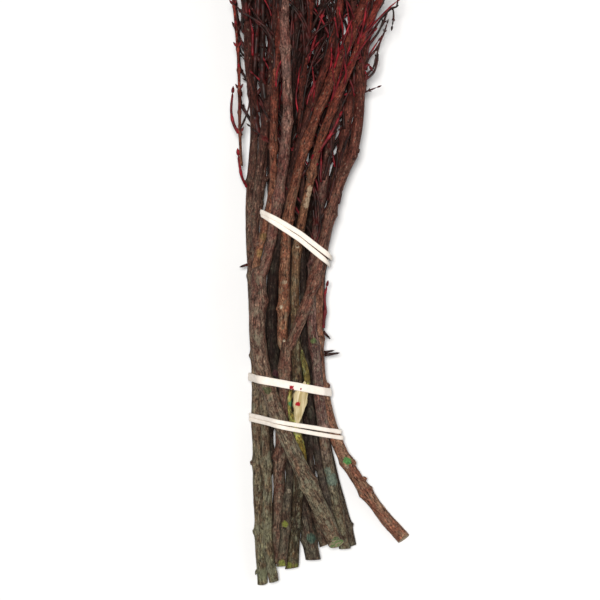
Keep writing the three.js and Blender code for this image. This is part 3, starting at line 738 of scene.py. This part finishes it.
# How far each sawn end leans across and up, and the paint on it.
SQUARE_CUT = (0.1, 0.15)
CUTS = {
    "left_outer_stem": ((0.15, -0.1), "raw"),
    "thick_front_stem": ((-0.1, 0.85), "green"),
    "dark_stem": ((-0.15, 0.1), "teal"),
    "lichen_stem": ((-0.2, 0.1), "teal"),
    "yellow_rimmed_stem": ((0.1, 0.3), "lime"),
    "olive_stem": ((0.3, 0.25), "lime"),
    "splayed_stem": ((-0.1, 0.35), "raw"),
}
WOODS = {
    "raw": cut_material("sawn_wood"),
    "green": cut_material("sawn_wood_green", GREEN, 0.45),
    "teal": cut_material("sawn_wood_teal", TEAL, 0.42),
    "lime": cut_material("sawn_wood_lime", LIME, 0.42),
}
CRIMSONS = (0.035, 0.007, 0.007), (0.115, 0.010, 0.013), (0.36, 0.016, 0.026)
# Colours of the dark twigs inside the bundle: dark brown bark, darkened further to near black as painted
# shade in the gaps between stems.
TWIG_DARKS_AND_SHADE = (0.008, 0.006, 0.005), (0.026, 0.010, 0.008), (0.10, 0.014, 0.013)
CRIMSON_TWIG = twig_material("crimson_twig", *CRIMSONS)
DARK_SHADE_TWIG = twig_material("dark_twig", *TWIG_DARKS_AND_SHADE)
RED_DROP = (place(4.4, 101.4, 29.6), 1.5 * MM, (0.33, 0.010, 0.018), 1.0)
TORN_WOOD = torn_wood_material("torn_wood", [RED_DROP])
GREEN_DROP = (place(0.9, 101.5, 28.8), 1.9 * MM, (0.06, 0.20, 0.08), 0.9)


def bark_of(node):
    spots = [
        (point_on(node, along, side, up), reach * MM, colour, share)
        for along, side, up, reach, colour, share in SPOTS.get(node, ())
    ]
    if node == TORN_TWIG:
        spots.append(GREEN_DROP)
    return bark_material(node + "_bark", STEM_LOOKS[node][0], spots)


def inside(rows, depth):
    """A row a short way back from a stem's end, along its middle."""
    back = unit(rows[-2, :3] - rows[-1, :3])
    return np.array([*(rows[-1, :3] + back * depth), rows[-1, 3] * 0.8])


def distance_at(rows, y):
    """The distance along a stem where it reaches y."""
    return np.interp(y, rows[:, 1], run_along(rows[:, :3]))


# Points along each part of the split twig, in millimetres: x, y, z and the half-widths across and up.
TORN_STRIPS = (
    ((
        (8.8, 64, 24.5, 0.5, 0.5), (8.0, 68.5, 25, 1.4, 1.2), (7.0, 73, 25.6, 2.0, 1.5),
        (5.4, 78, 26.4, 2.6, 1.7), (3.9, 83, 27, 3.0, 1.8), (2.8, 88, 27.4, 2.9, 1.7),
        (2.5, 92, 27.5, 2.7, 1.4), (2.6, 95, 27.4, 1.5, 0.8), (2.8, 98, 27.2, 0.4, 0.4),
    ), STEM),
    ((
        (1.6, 91, 27.9, 1.4, 0.9), (0.6, 95, 28.2, 1.3, 0.8), (-0.1, 99, 28.3, 1.1, 0.7),
        (-0.2, 103, 28.3, 1.2, 0.7), (0.2, 107, 27.9, 1.0, 0.6), (0.8, 111, 27.2, 0.5, 0.4),
    ), STEM),
    ((
        (3.7, 89, 28.2, 0.8, 0.4), (4.3, 92, 28.7, 1.3, 0.7), (4.6, 95, 28.9, 2.3, 0.8),
        (5.0, 99, 29, 3.3, 0.9), (5.8, 104.5, 28.8, 3.8, 0.9), (6.6, 108, 28.4, 3.7, 0.8),
        (8.6, 112, 28.2, 2.2, 0.7), (9.9, 115.4, 28, 0.6, 0.4),
    ), BARE),
    ((
        (8.8, 106, 28.1, 1.0, 0.8), (9.6, 111, 27.8, 1.5, 1.2), (9.2, 117, 27.4, 1.6, 1.3),
        (8.0, 123, 27, 1.5, 1.3), (7.0, 128, 26.4, 1.2, 1.0), (6.6, 131, 26, 0.4, 0.4),
    ), STEM),
)


def strip(bin_, rows, slot, seed, sides, step):
    """A flattened, ragged tongue of bark or wood. Rows are x, y, z and half-widths across and up."""
    dense = spline(rows, step)
    line, across, up = dense[:, :3], dense[:, 3], dense[:, 4]
    a = turns(sides)
    s = np.arange(len(line)) * step
    edge = np.broadcast_arrays(np.cos(a)[None] * 2.2, np.sin(a)[None] * 2.2, s[:, None] * 260)
    flat = np.stack(edge, axis=-1)
    ragged = 1 + 0.22 * noise(flat.reshape(-1, 3), seed).reshape(len(line), sides)
    x = np.cos(a)[None] * across[:, None] * ragged
    z = -np.sin(a)[None] * up[:, None] * ragged
    points = line[:, None] + np.stack([x, 0 * x, z], axis=-1)
    bark = np.stack([x, z, np.broadcast_to(s[:, None], x.shape) + seed * 0.37], axis=-1).reshape(-1, 3)
    fan = np.stack([np.zeros(sides - 2, dtype=int), np.arange(1, sides - 1), np.arange(2, sides)], axis=1)
    faces = [ring_faces(len(line), sides), fan[:, ::-1], fan + (len(line) - 1) * sides]
    bin_.add(points.reshape(-1, 3), bark, faces, slot)


class Branch:
    """One whole branch: its stem, its forks, its crown and the fine twigs that grow on it."""

    def __init__(self, node, number):
        self.node, self.seed, self.bin = node, number, Bin()
        self.random = random.Random(number)
        self.replaced = []

    def grow(self, node, slot=STEM, parent=None):
        rows = rows_of[node] * [1, 1, 1, 0.78 if node == RED_TWIG else 1]
        self.replaced.append(node)
        if node == TORN_TWIG:
            self.torn()
            return
        self.seed += 23
        crown = node not in STEM_LOOKS
        _, knots, sides, step = STEM_LOOKS.get(node, ("", (), CROWN_SIDES, CROWN_STEP))
        if parent is not None:
            start = inside(parent, 0.007)
            start[3] = min(start[3], rows[0, 3])
            rows = np.vstack([start, rows])
        children = children_of(node)
        if crown or not children:
            spacing = 0.0115 if node == RED_TWIG else 0.030
            knots = np.arange(rows[0, 1] + 0.018, rows[-1, 1] - 0.01, spacing)
        else:
            knots = np.array([CUT_END_Y + k * MM for k in knots])
        along = [distance_at(rows, k) for k in knots]
        lean, _ = CUTS.get(node, (SQUARE_CUT, "raw"))
        cut = lean if parent is None and node != RED_TWIG else None
        line, radius, s = stem_surface(self.bin, rows, sides, step * MM, along, cut, self.seed, slot)
        for n, child in enumerate(children):
            arm = (ARM, OTHER_ARM)[n] if child in STEM_LOOKS else slot
            self.grow(child, arm, rows)
        if node == RED_TWIG:
            self.bud_pairs(line, radius, s, along)
        elif crown or not children:
            self.side_twigs(line, radius, s, along)

    def torn(self):
        """The split twig: yellow bark below, a tongue of stripped wood and a ribbon of bark above."""
        _, _, sides, step = STEM_LOOKS[self.node]
        for rows, slot in TORN_STRIPS:
            rows = [[*place(x, y, z), across * MM, up * MM] for x, y, z, across, up in rows]
            strip(self.bin, rows, slot, self.seed + slot, sides, step * MM)

    def bud_pairs(self, line, radius, s, along):
        tangent, u, v = frames_along(line)
        for n, knot in enumerate(along):
            i = min(int(np.searchsorted(s, knot)), len(s) - 2)
            for out in (u[i], -u[i], v[i], -v[i])[2 * (n % 2) : 2 * (n % 2) + 2]:
                bud(self.bin, line[i] + out * radius[i] * 0.7, out * 0.6 + tangent[i], 0.0032, 0.0014)

    def fill(self, node, low, high, count, spread=0.30, length=(22, 60), crimson=0.25, stout=1.0):
        """Thin, crooked twigs that start on a stem between two distances along it and run on beside it."""
        rnd = self.random
        rows = rows_of[node]
        for _ in range(count):
            along = rnd.uniform(low, high)
            side = rnd.uniform(-1, 1)
            start = point_on(node, along, side, rnd.uniform(-0.2, 1) * (1 - abs(side)))
            ahead = point_on(node, along + 8, 0, 0) - point_on(node, along, 0, 0)
            way = unit(unit(ahead) + np.array([rnd.uniform(-spread, spread), 0, rnd.uniform(-0.12, 0.12)]))
            steps = rnd.randint(5, 8)
            slot = TWIG if rnd.random() < crimson else SHADE
            reach = rnd.uniform(*length) * MM * (0.6 if slot == TWIG else 1)
            curl = rnd.uniform(-0.16, 0.16)
            route = [start]
            for _ in range(steps):
                bend = np.array([curl + rnd.uniform(-0.14, 0.14), 0, rnd.uniform(-0.1, 0.1)])
                way = unit(way + bend)
                route.append(route[-1] + way * reach / steps)
            route = keep_in(np.array(route))
            ceiling = max(start[2], rows[:, 2].mean()) + 0.006
            route[:, 2] = np.minimum(route[:, 2], ceiling)
            for point in route[1:]:
                left, right = stems_reach(point[1])
                spare = INSET if point[1] < TIGHT_UP_TO else -0.012 * max(way[0], 0)
                point[0] = np.clip(point[0], left + INSET, right - spare)
            foot = rnd.uniform(0.0012, 0.0025) * (0.7 if slot == TWIG else stout)
            thick = (foot, 0.0008 * stout)
            twig(self.bin, route, thick, rnd.randrange(1000), slot=slot, sides=6, spacing=0.014)

    def sprig(self, node, along, side, path, rise, thick, slot=SHADE):
        """One twig that leaves a stem at along and passes above the points of path, climbing by rise.

        A path of one or two points makes a bare stub.
        """
        buds = len(path) > 2
        start = point_on(node, along, side, 1 - abs(side))
        heights = np.linspace(start[2], start[2] + rise * MM, len(path) + 1)[1:]
        route = [start] + [place(x, y, z / MM) for (x, y), z in zip(path, heights)]
        thick = (thick[0] * MM, thick[1] * MM)
        route = keep_in(np.array(route))
        twig(self.bin, route, thick, self.random.randrange(1000), buds, slot, step=0.0014, spacing=0.011)

    def peg(self, node, along, side, up, length, thick):
        """A stub or bud that stands out from a stem."""
        start = point_on(node, along, side, up)
        out = unit(start - point_on(node, along, -side, -up))
        root = start - out * length * 0.3 * MM
        bud(self.bin, root, out + [0, 0.35, 0], length * 1.3 * MM, thick * MM, STEM, 9)

    def side_twigs(self, line, radius, s, along):
        """Opposite pairs of fine twigs, each pair turned a quarter from the last, shorter towards the tip."""
        tangent, u, v = frames_along(line)
        for n, knot in enumerate(along):
            i = min(int(np.searchsorted(s, knot)), len(s) - 2)
            left = (s[-1] - s[i]) / s[-1]
            turn = self.random.uniform(-0.4, 0.4) + (math.pi / 2 if n % 2 else 0)
            for sign in (1, -1):
                if line[i, 1] < CROWN_FROM or self.random.random() < 0.12:
                    continue
                out = sign * (u[i] * math.cos(turn) + v[i] * math.sin(turn))
                length = 0.028 + 0.062 * left * self.random.uniform(0.6, 1.1)
                self.side_twig(line[i], tangent[i], out, radius[i], length)

    def side_twig(self, root, tangent, out, radius, length):
        angle = self.random.uniform(0.35, 0.6)
        way = unit(tangent * math.cos(angle) + out * math.sin(angle))
        route = [root]
        for step in range(5):
            way = unit(way + tangent * 0.10 + np.array([self.random.uniform(-0.1, 0.1) for _ in range(3)]))
            route.append(route[-1] + way * length / 5)
        thick = min(0.0021, radius * 1.25)
        route = keep_in(np.array(route))
        twig(self.bin, route, (thick, 0.0009), self.random.randrange(1000))
        if length > 0.055:
            for at, turn in ((2, 1), (3, -1)):
                fork_way = unit(np.cross(route[at] - route[at - 1], [0, 0, 1.0])) * turn
                tip = route[at] + (unit(route[at] - route[at - 1]) + fork_way * 0.5) * length * 0.3
                middle = (route[at] + tip) / 2 + fork_way * 0.001
                fork = keep_in(np.array([route[at], middle, tip]))
                twig(self.bin, fork, (0.0012, 0.0008), self.random.randrange(1000))

    def finish(self):
        materials = [bark_of(self.node), WOODS[CUTS.get(self.node, (SQUARE_CUT, "raw"))[1]]]
        materials += [CRIMSON_TWIG, TORN_WOOD]
        materials += [bark_of(arm) for arm in FORKS.get(self.node, ())] or [materials[STEM]] * 2
        materials.append(DARK_SHADE_TWIG)
        piece = self.bin.build(PIECES[self.node], materials)
        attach(piece, "root")
        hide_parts(*self.replaced)


def stems_reach(y):
    """The left and right edges of the stems at a place along the bundle."""
    low, high = [], []
    for rows in rows_of.values():
        if rows[0, 1] < y < rows[-1, 1]:
            x, r = np.interp(y, rows[:, 1], rows[:, 0]), np.interp(y, rows[:, 1], rows[:, 3])
            low.append(x - r)
            high.append(x + r)
    return (min(low), max(high)) if low else (cad_low[0], cad_high[0])


def keep_in(route):
    """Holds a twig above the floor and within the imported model's box."""
    low = np.array(cad_low) + [0.001, 0.001, 0.0012]
    high = np.array(cad_high) - 0.001
    return np.clip(route, low, high)


branches = {}
for number, node in enumerate(PIECES):
    branches[node] = Branch(node, number + 1)
    branches[node].grow(node)


def owner(node):
    """The branch that a stem or an arm belongs to."""
    for stem, arms in FORKS.items():
        if node in arms:
            return branches[stem]
    return branches[node]


# Thin twigs inside the bundle: stem, from and to along it, how many.
for node, low, high, count in (
    ("dark_stem", 215, 345, 10),
    ("lichen_stem", 178, 340, 26),
    ("hidden_right_stem", 185, 335, 20),
    ("splayed_stem", 205, 335, 16),
    ("slim_dark_stem", 190, 340, 26),
    ("yellow_rimmed_stem", 210, 350, 24),
    ("crossing_dark_stem", 215, 350, 24),
    ("back_stem_left", 240, 350, 16),
    ("back_stem_second", 230, 350, 20),
    ("back_stem_middle", 215, 350, 26),
    ("back_stem_fourth", 195, 350, 24),
    ("back_stem_right", 190, 345, 18),
    ("left_outer_stem", 262, 345, 6),
    ("left_inner_stem", 262, 345, 9),
    ("olive_stem", 262, 345, 9),
    ("middle_stem_orange_arm", 275, 350, 8),
    ("middle_stem_right_arm", 262, 345, 16),
    ("thick_stem_right_arm", 285, 350, 6),
    ("thick_stem_left_arm", 270, 345, 6),
):
    bright = 0.45 if node in ("olive_stem", "middle_stem_orange_arm", "splayed_stem") else 0.22
    owner(node).fill(node, low, high, count, crimson=bright)

# Single twigs that stand against the floor or close a slit between stems, where their dark colour is painted
# shade: along, side, path, climb, thickness at both ends, slot.
SPRIGS = {
    "left_outer_stem": [
        (221, -0.7, ((-26.4, 226), (-27.6, 232), (-28.3, 238)), 6, (1.6, 1.6), TWIG),
        (178, -0.9, ((-27.9, 176.6),), 0, (1.6, 1.2), SHADE),
        (296, -0.8, ((-26.4, 300), (-27.4, 304)), 1, (1.3, 0.9), SHADE),
        (250, 0.8, ((-19.6, 262), (-19.7, 274), (-19.4, 286), (-18.6, 298), (-17.8, 312), (-17.2, 330)),
         2, (4.2, 2.4), SHADE),
        (262, 0.9, ((-21, 280), (-21.6, 296), (-21.8, 312), (-22.4, 332)), 2, (3.2, 1.8), SHADE),
    ],
    "left_red_twig": [
        (250, -0.8, ((-31.2, 256), (-32.2, 263), (-31.4, 272)), 2, (1.8, 1.4), TWIG),
        (249, 0.8, ((-27.4, 252), (-25, 257), (-22.6, 264), (-22, 271)), 3, (1.2, 0.8), SHADE),
        (306, 0.8, ((-28.6, 309), (-27.4, 305)), 1, (1.2, 0.9), SHADE),
    ],
    "olive_stem": [
        (232, 0.8, ((12.4, 236), (15.4, 239), (19.8, 245), (23.7, 251), (27, 258)), 4, (2.2, 1.3), TWIG),
        (305, 0.8, ((46, 312), (50, 318), (53, 326), (56, 334)), 4, (1.5, 0.9), SHADE),
    ],
    "middle_stem_right_arm": [
        (190, 0.9, ((20.6, 193), (22.6, 197), (22.9, 201), (22.3, 205)), 1, (1.4, 1.0), SHADE),
        (211, 0.9, ((28.4, 217.5),), 0, (1.8, 1.1), SHADE),
        (272, 0.9, ((42, 281), (45.5, 285), (47.2, 291), (49.5, 300)), 3, (1.5, 0.9), SHADE),
        (276, 0.9, ((41, 278), (46, 283), (48, 290), (47.8, 294)), 2, (1.4, 0.9), SHADE),
        (282, 0.9, ((40.6, 284), (42.6, 287), (43.6, 286)), 1, (1.6, 1.2), TWIG),
        (292, 0.9, ((43, 297), (48, 304), (51.5, 311), (54, 317), (58, 318), (59, 324)),
         4, (1.5, 1.0), SHADE),
        (296, 0.9, ((44, 302), (50, 312), (55.6, 317), (56.6, 313), (55.8, 307.5)), 4, (1.3, 0.9), SHADE),
        (286, 0.9, ((43, 290), (47.6, 296), (51, 303), (53, 309)), 3, (1.3, 0.8), SHADE),
        (300, 0.9, ((44, 306), (47, 314), (51, 322), (55, 330)), 4, (1.6, 1.0), TWIG),
    ],
    "splayed_stem": [
        (143, 0.9, ((18.8, 147), (19.6, 153), (19.2, 160), (20.4, 166)), 2, (1.9, 1.2), TWIG),
        (128, 0.9, ((27.6, 129.2),), 1, (1.8, 1.1), SHADE),
        (129.5, 0.9, ((24.6, 130.6),), 1, (1.6, 1.0), SHADE),
        (141, 0.9, ((22.4, 136.8),), 0, (1.7, 1.1), SHADE),
    ],
    "left_inner_stem": [
        (203, 0.8, ((-16.8, 210), (-15.4, 222), (-14.3, 235), (-13, 248), (-12.2, 262)),
         -3, (4.0, 3.0), STEM),
        (268, -0.6, ((-15, 280), (-15.2, 292), (-14.8, 304), (-14.8, 318), (-15.4, 334)),
         -3, (4.0, 2.2), SHADE),
    ],
    "back_stem_left": [
        (96, 0.8, ((-11.0, 90), (-10.9, 82), (-10.8, 76), (-10.6, 69)), 3, (4.4, 3.6), STEM),
    ],
    "slim_dark_stem": [
        (88, -0.5, ((11.6, 80), (11.6, 73), (12.2, 66), (13.4, 58)), -4, (3.4, 2.8), STEM),
        (136, 0.5, ((11.2, 129), (11.6, 121), (11.8, 114), (11.9, 105)), -5, (3.4, 2.8), STEM),
    ],
    "thick_stem_left_arm": [
        (188, -0.7, ((-15.0, 194), (-15.6, 200), (-15.9, 204.5)), -3, (2.8, 2.0), STEM),
    ],
}
for node, rows in SPRIGS.items():
    for row in rows:
        owner(node).sprig(node, *row)

# Tufts of short crimson twigs: stem, from and to along it, how many.
for node, low, high, count in (
    ("olive_stem", 262, 300, 9),
    ("middle_stem_orange_arm", 276, 306, 9),
    ("middle_stem_right_arm", 284, 312, 6),
    ("left_inner_stem", 262, 280, 5),
    ("dark_stem", 250, 300, 6),
):
    owner(node).fill(node, low, high, count, spread=0.5, length=(24, 48), crimson=1.0)

# Dark twigs low in the bundle, which close it from below; their near-black colour is painted shade: stem,
# from and to along it, how many.
for node, low, high, count in (
    ("back_stem_left", 240, 325, 8),
    ("back_stem_second", 235, 325, 9),
    ("back_stem_middle", 220, 325, 13),
    ("back_stem_fourth", 195, 325, 15),
    ("back_stem_right", 190, 310, 14),
):
    owner(node).fill(node, low, high, count, spread=0.4, crimson=0.0, stout=1.6)

# Stubs, buds and branch collars: along, side, up, length, thickness.
PEGS = {
    "left_outer_stem": [
        (68, -1, 0.25, 1.6, 3.4), (30, -1, 0.1, 0.9, 3.2), (7, -1, 0.2, 1.0, 4.0),
        (224, -1, 0.1, 1.2, 2.6),
    ],
    "left_inner_stem": [(67, 1, 0.3, 1.0, 3.2), (247, 0.4, 1, 1.0, 2.6)],
    "splayed_stem": [
        (58.5, 1, 0.4, 2.4, 3.4), (50.6, -1, 0.2, 1.8, 3.2), (68, 1, 0.3, 1.5, 4.2),
        (69.3, 0.1, 1, 0.5, 3.6), (111, 1, 0.2, 1.4, 3.6),
    ],
    "hidden_right_stem": [(33, 1, 0.2, 1.6, 3.0)],
    "middle_stem_orange_arm": [
        (154.5, -0.6, 1, 0.7, 2.2), (203, 1, 0.6, 1.2, 3.0), (244, 1, 0.4, 1.2, 2.8),
    ],
    "forked_middle_stem": [(136, -0.5, 1, 0.6, 2.2)],
    "middle_stem_right_arm": [(240, 1, 0.2, 1.7, 3.4), (206, 1, 0.5, 1.0, 2.8)],
    "olive_stem": [(188, -0.3, 1, 1.4, 1.9), (228, 0.8, 0.6, 1.0, 2.6)],
    "yellow_rimmed_stem": [(34.7, 0, 1, 0.7, 2.8)],
    "lichen_stem": [(133, 0.6, 0.8, 0.8, 2.8)],
    "thick_front_stem": [(58, 0.9, 0.5, 0.8, 4.0), (112, -0.6, 0.8, 0.7, 3.4)],
    "thick_stem_right_arm": [
        (214, -0.8, 0.5, 0.9, 3.2), (256, 0.8, 0.5, 1.0, 3.2), (296, -0.8, 0.5, 1.0, 3.0),
    ],
    "thick_stem_left_arm": [(205, -0.7, 0.6, 0.9, 2.8)],
    "dark_stem": [(26, -0.9, 0.4, 1.0, 3.2)],
    "slim_dark_stem": [(50, 0.8, 0.6, 1.0, 2.4)],
}
for node, rows in PEGS.items():
    for row in rows:
        owner(node).peg(node, *row)


# ---- rubber bands -------------------------------------------------------------------------------------


def outline(points):
    """The convex outline of 2-D points, in order."""
    points = sorted(map(tuple, points))

    def half(run):
        chain = []
        for p in run:
            while len(chain) > 1:
                (ax, ay), (bx, by) = chain[-2], chain[-1]
                if (bx - ax) * (p[1] - ay) - (by - ay) * (p[0] - ax) > 0:
                    break
                chain.pop()
            chain.append(p)
        return chain[:-1]

    return np.array(half(points) + half(points[::-1]))


def band_loop(front, lift, left_out):
    """A closed loop round the stems, lift off them. front is where it crosses them, seen from above."""
    across = np.array([[place(x, y, 0)[0], place(x, y, 0)[1]] for x, y in front])
    dots = []
    for node, rows in rows_of.items():
        if node in left_out or not rows[0, 1] < across[0, 1] < rows[-1, 1]:
            continue
        y = across[0, 1]
        for _ in range(6):
            x = np.interp(y, rows[:, 1], rows[:, 0])
            y = np.interp(x, across[:, 0], across[:, 1])
        if not rows[0, 1] < y < rows[-1, 1]:
            continue
        z, r = (np.interp(y, rows[:, 1], rows[:, i]) for i in (2, 3))
        for turn in np.arange(48) * (math.pi / 24):
            dots.append((x + (r * 1.03 + lift) * math.cos(turn), z + (r * 1.03 + lift) * math.sin(turn)))
    edge = outline(dots)
    edge = np.vstack([edge, edge[:1]])
    run = run_along(edge)
    even = np.linspace(0, run[-1], 260, endpoint=False)
    x, z = np.interp(even, run, edge[:, 0]), np.interp(even, run, edge[:, 1])
    for _ in range(3):
        x, z = ((np.roll(c, 1) + 2 * c + np.roll(c, -1)) / 4 for c in (x, z))
    slope = (across[-1, 1] - across[-2, 1]) / (across[-1, 0] - across[-2, 0])
    y = np.interp(x, across[:, 0], across[:, 1]) + np.maximum(x - across[-1, 0], 0) * slope
    slope = (across[1, 1] - across[0, 1]) / (across[1, 0] - across[0, 0])
    y = y + np.minimum(x - across[0, 0], 0) * slope
    for _ in range(12):
        y = (np.roll(y, 1) + 2 * y + np.roll(y, -1)) / 4
    return np.stack([x, y, z], axis=1)


def band_strand(bin_, loop, wide, thick, seed):
    """A strip of rubber with rounded edges, lying flat on the loop."""
    tangent = unit(np.roll(loop, -1, axis=0) - np.roll(loop, 1, axis=0))
    outward = unit(np.cross(tangent, [0, 1.0, 0]))
    middle = loop.mean(axis=0)
    if ((loop - middle) * outward).sum() < 0:
        outward = -outward
    across = unit(np.cross(outward, tangent))
    sides = 16
    a = (np.arange(sides) + 0.5) * (2 * math.pi / sides)
    flat_across = np.sign(np.cos(a)) * np.abs(np.cos(a)) ** 0.55 * wide / 2
    flat_out = np.sign(np.sin(a)) * np.abs(np.sin(a)) ** 0.75 * thick / 2
    step = np.arange(len(loop)) * (2 * math.pi / len(loop))
    spot = np.stack([np.cos(step) * 6, np.sin(step) * 6, np.full_like(step, seed * 5.3)], axis=1)
    stretch = 1 + 0.05 * noise(spot, 41)
    tilt = 0.10 * noise(spot * 0.7, 42)
    x = flat_across[None] * stretch[:, None]
    z = flat_out[None] * (2 - stretch[:, None])
    cos, sin = np.cos(tilt)[:, None], np.sin(tilt)[:, None]
    x, z = x * cos - z * sin, z * cos + x * sin
    points = loop[:, None] + across[:, None] * x[..., None] + outward[:, None] * z[..., None]
    rings = len(loop)
    i = np.arange(rings)[:, None] * sides
    after = (np.arange(rings)[:, None] + 1) % rings * sides
    j = np.arange(sides)[None]
    k = (j + 1) % sides
    quads = np.stack([i + j, i + k, after + k, after + j], axis=-1).reshape(-1, 4)
    sample = points[0]
    spin = np.cross(sample[1] - sample[0], points[1][0] - sample[0]).dot(sample[0] - sample.mean(axis=0))
    if spin < 0:
        quads = quads[:, ::-1]
    points = points.reshape(-1, 3)
    bin_.add(points, points, [quads], 0)


BAND_THICK = 1.3 * MM
RED_FLECK = (0.30, 0.010, 0.018)
# A strand is where it crosses the bundle, its width and how far off the stems it lies.
# A fleck is x, y and reach.
BANDS = {
    "lower_rubber_band": dict(
        strands=[
            (((-26, 95.2), (-12, 93.0), (0, 90.6), (12, 88.5), (25, 86.0), (32, 84.6)), 2.4, 0.9),
            (((-26, 92.9), (-12, 90.6), (0, 87.9), (12, 85.4), (25, 82.8), (32, 81.4)), 2.3, 0.9),
        ],
    ),
    "middle_rubber_band": dict(
        strands=[(((-26, 116.5), (-10, 113.7), (5, 110.8), (22, 107.4), (27, 106.4)), 4.4, 0.9)],
        flecks=((0.8, 110.6, 1.3), (2.0, 109.4, 0.9), (6.2, 109.6, 0.6), (6.0, 108.2, 0.5)),
    ),
    "top_rubber_band": dict(
        strands=[
            (((-18, 207), (-5.5, 198.6), (5.5, 191.4), (19.3, 180), (22, 177.6)), 2.7, 0.9),
            (((-18, 208), (-7, 202.4), (5.5, 195), (18.7, 184.8), (22, 182.2)), 2.7, 1.5),
        ],
        left_out=("left_outer_stem", "left_inner_stem"),
    ),
}
for name, band in BANDS.items():
    bin_ = Bin()
    flecks = []
    for n, (front, wide, lift) in enumerate(band["strands"]):
        loop = band_loop(front, lift * MM, band.get("left_out", ()))
        band_strand(bin_, loop, wide * MM, BAND_THICK, n + len(name))
        for x, y, reach in band.get("flecks", ()):
            near = np.argmin(np.abs(loop[:, 0] - place(x, y, 0)[0]) - loop[:, 2])
            spot = (loop[near, 0], place(x, y, 0)[1], loop[near, 2] + 0.6 * MM)
            flecks.append((spot, reach * MM, RED_FLECK, 1.0))
    rubber = rubber_material(name.replace("band", "cream"), flecks)
    piece = bin_.build(name.replace("rubber_band", "band"), [rubber])
    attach(piece, "root")
    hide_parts(name)

for branch in branches.values():
    branch.finish()


# ---- floor, light and camera -----------------------------------------------------------------------------


def make_floor():
    mesh = bpy.data.meshes.new("floor")
    half = 4.0
    corners = [(-half, -half, 0), (half, -half, 0), (half, half, 0), (-half, half, 0)]
    mesh.from_pydata(corners, [], [(0, 1, 2, 3)])
    floor = bpy.data.objects.new("floor", mesh)
    bpy.context.scene.collection.objects.link(floor)
    g = Shader("pale_floor")
    speckle = g.noise(g.scaled(g.here(), (60, 60, 60)), 2.0)
    colour = g.mix(speckle, (0.82, 0.82, 0.82), (0.84, 0.84, 0.84))
    mesh.materials.append(g.finish(colour, g.span(speckle, 0, 1, 0.8, 0.9)))


def add_light(name, at, aim, size, watts, colour):
    light = bpy.data.lights.new(name, "AREA")
    light.shape = "DISK"
    light.size = size
    light.energy = watts
    light.color = colour
    lamp = bpy.data.objects.new(name, light)
    bpy.context.scene.collection.objects.link(lamp)
    lamp.location = at
    lamp.rotation_euler = (Vector(aim) - Vector(at)).to_track_quat("-Z", "Y").to_euler()


VIEW_WIDTH = 330 * MM
VIEW_HEIGHT_ABOVE = 25 * MM
VIEW_MIDDLE = place(5.6, 158.4, 0)

make_floor()
add_light("key", (-0.12, 0.0, 2.4), (0, -0.1, 0), 0.45, 62, (1.0, 0.985, 0.965))
add_light("fill", (1.4, -0.6, 1.6), (0, -0.1, 0), 1.2, 5, (0.97, 0.985, 1.0))

world = bpy.data.worlds.new("studio")
world.use_nodes = True
world.node_tree.nodes["Background"].inputs["Color"].default_value = (1.0, 1.0, 1.0, 1.0)
world.node_tree.nodes["Background"].inputs["Strength"].default_value = 0.15
bpy.context.scene.world = world
bpy.context.scene.view_settings.view_transform = "Standard"

lens = bpy.data.cameras.new("camera")
lens.lens = 150
lens.sensor_width = 36
lens.clip_start = 0.05
camera = bpy.data.objects.new("camera", lens)
bpy.context.scene.collection.objects.link(camera)
view_distance = VIEW_WIDTH * lens.lens / lens.sensor_width
camera.location = (VIEW_MIDDLE[0], VIEW_MIDDLE[1], VIEW_HEIGHT_ABOVE + view_distance)
camera.rotation_euler = (0, 0, 0)
bpy.context.scene.camera = camera
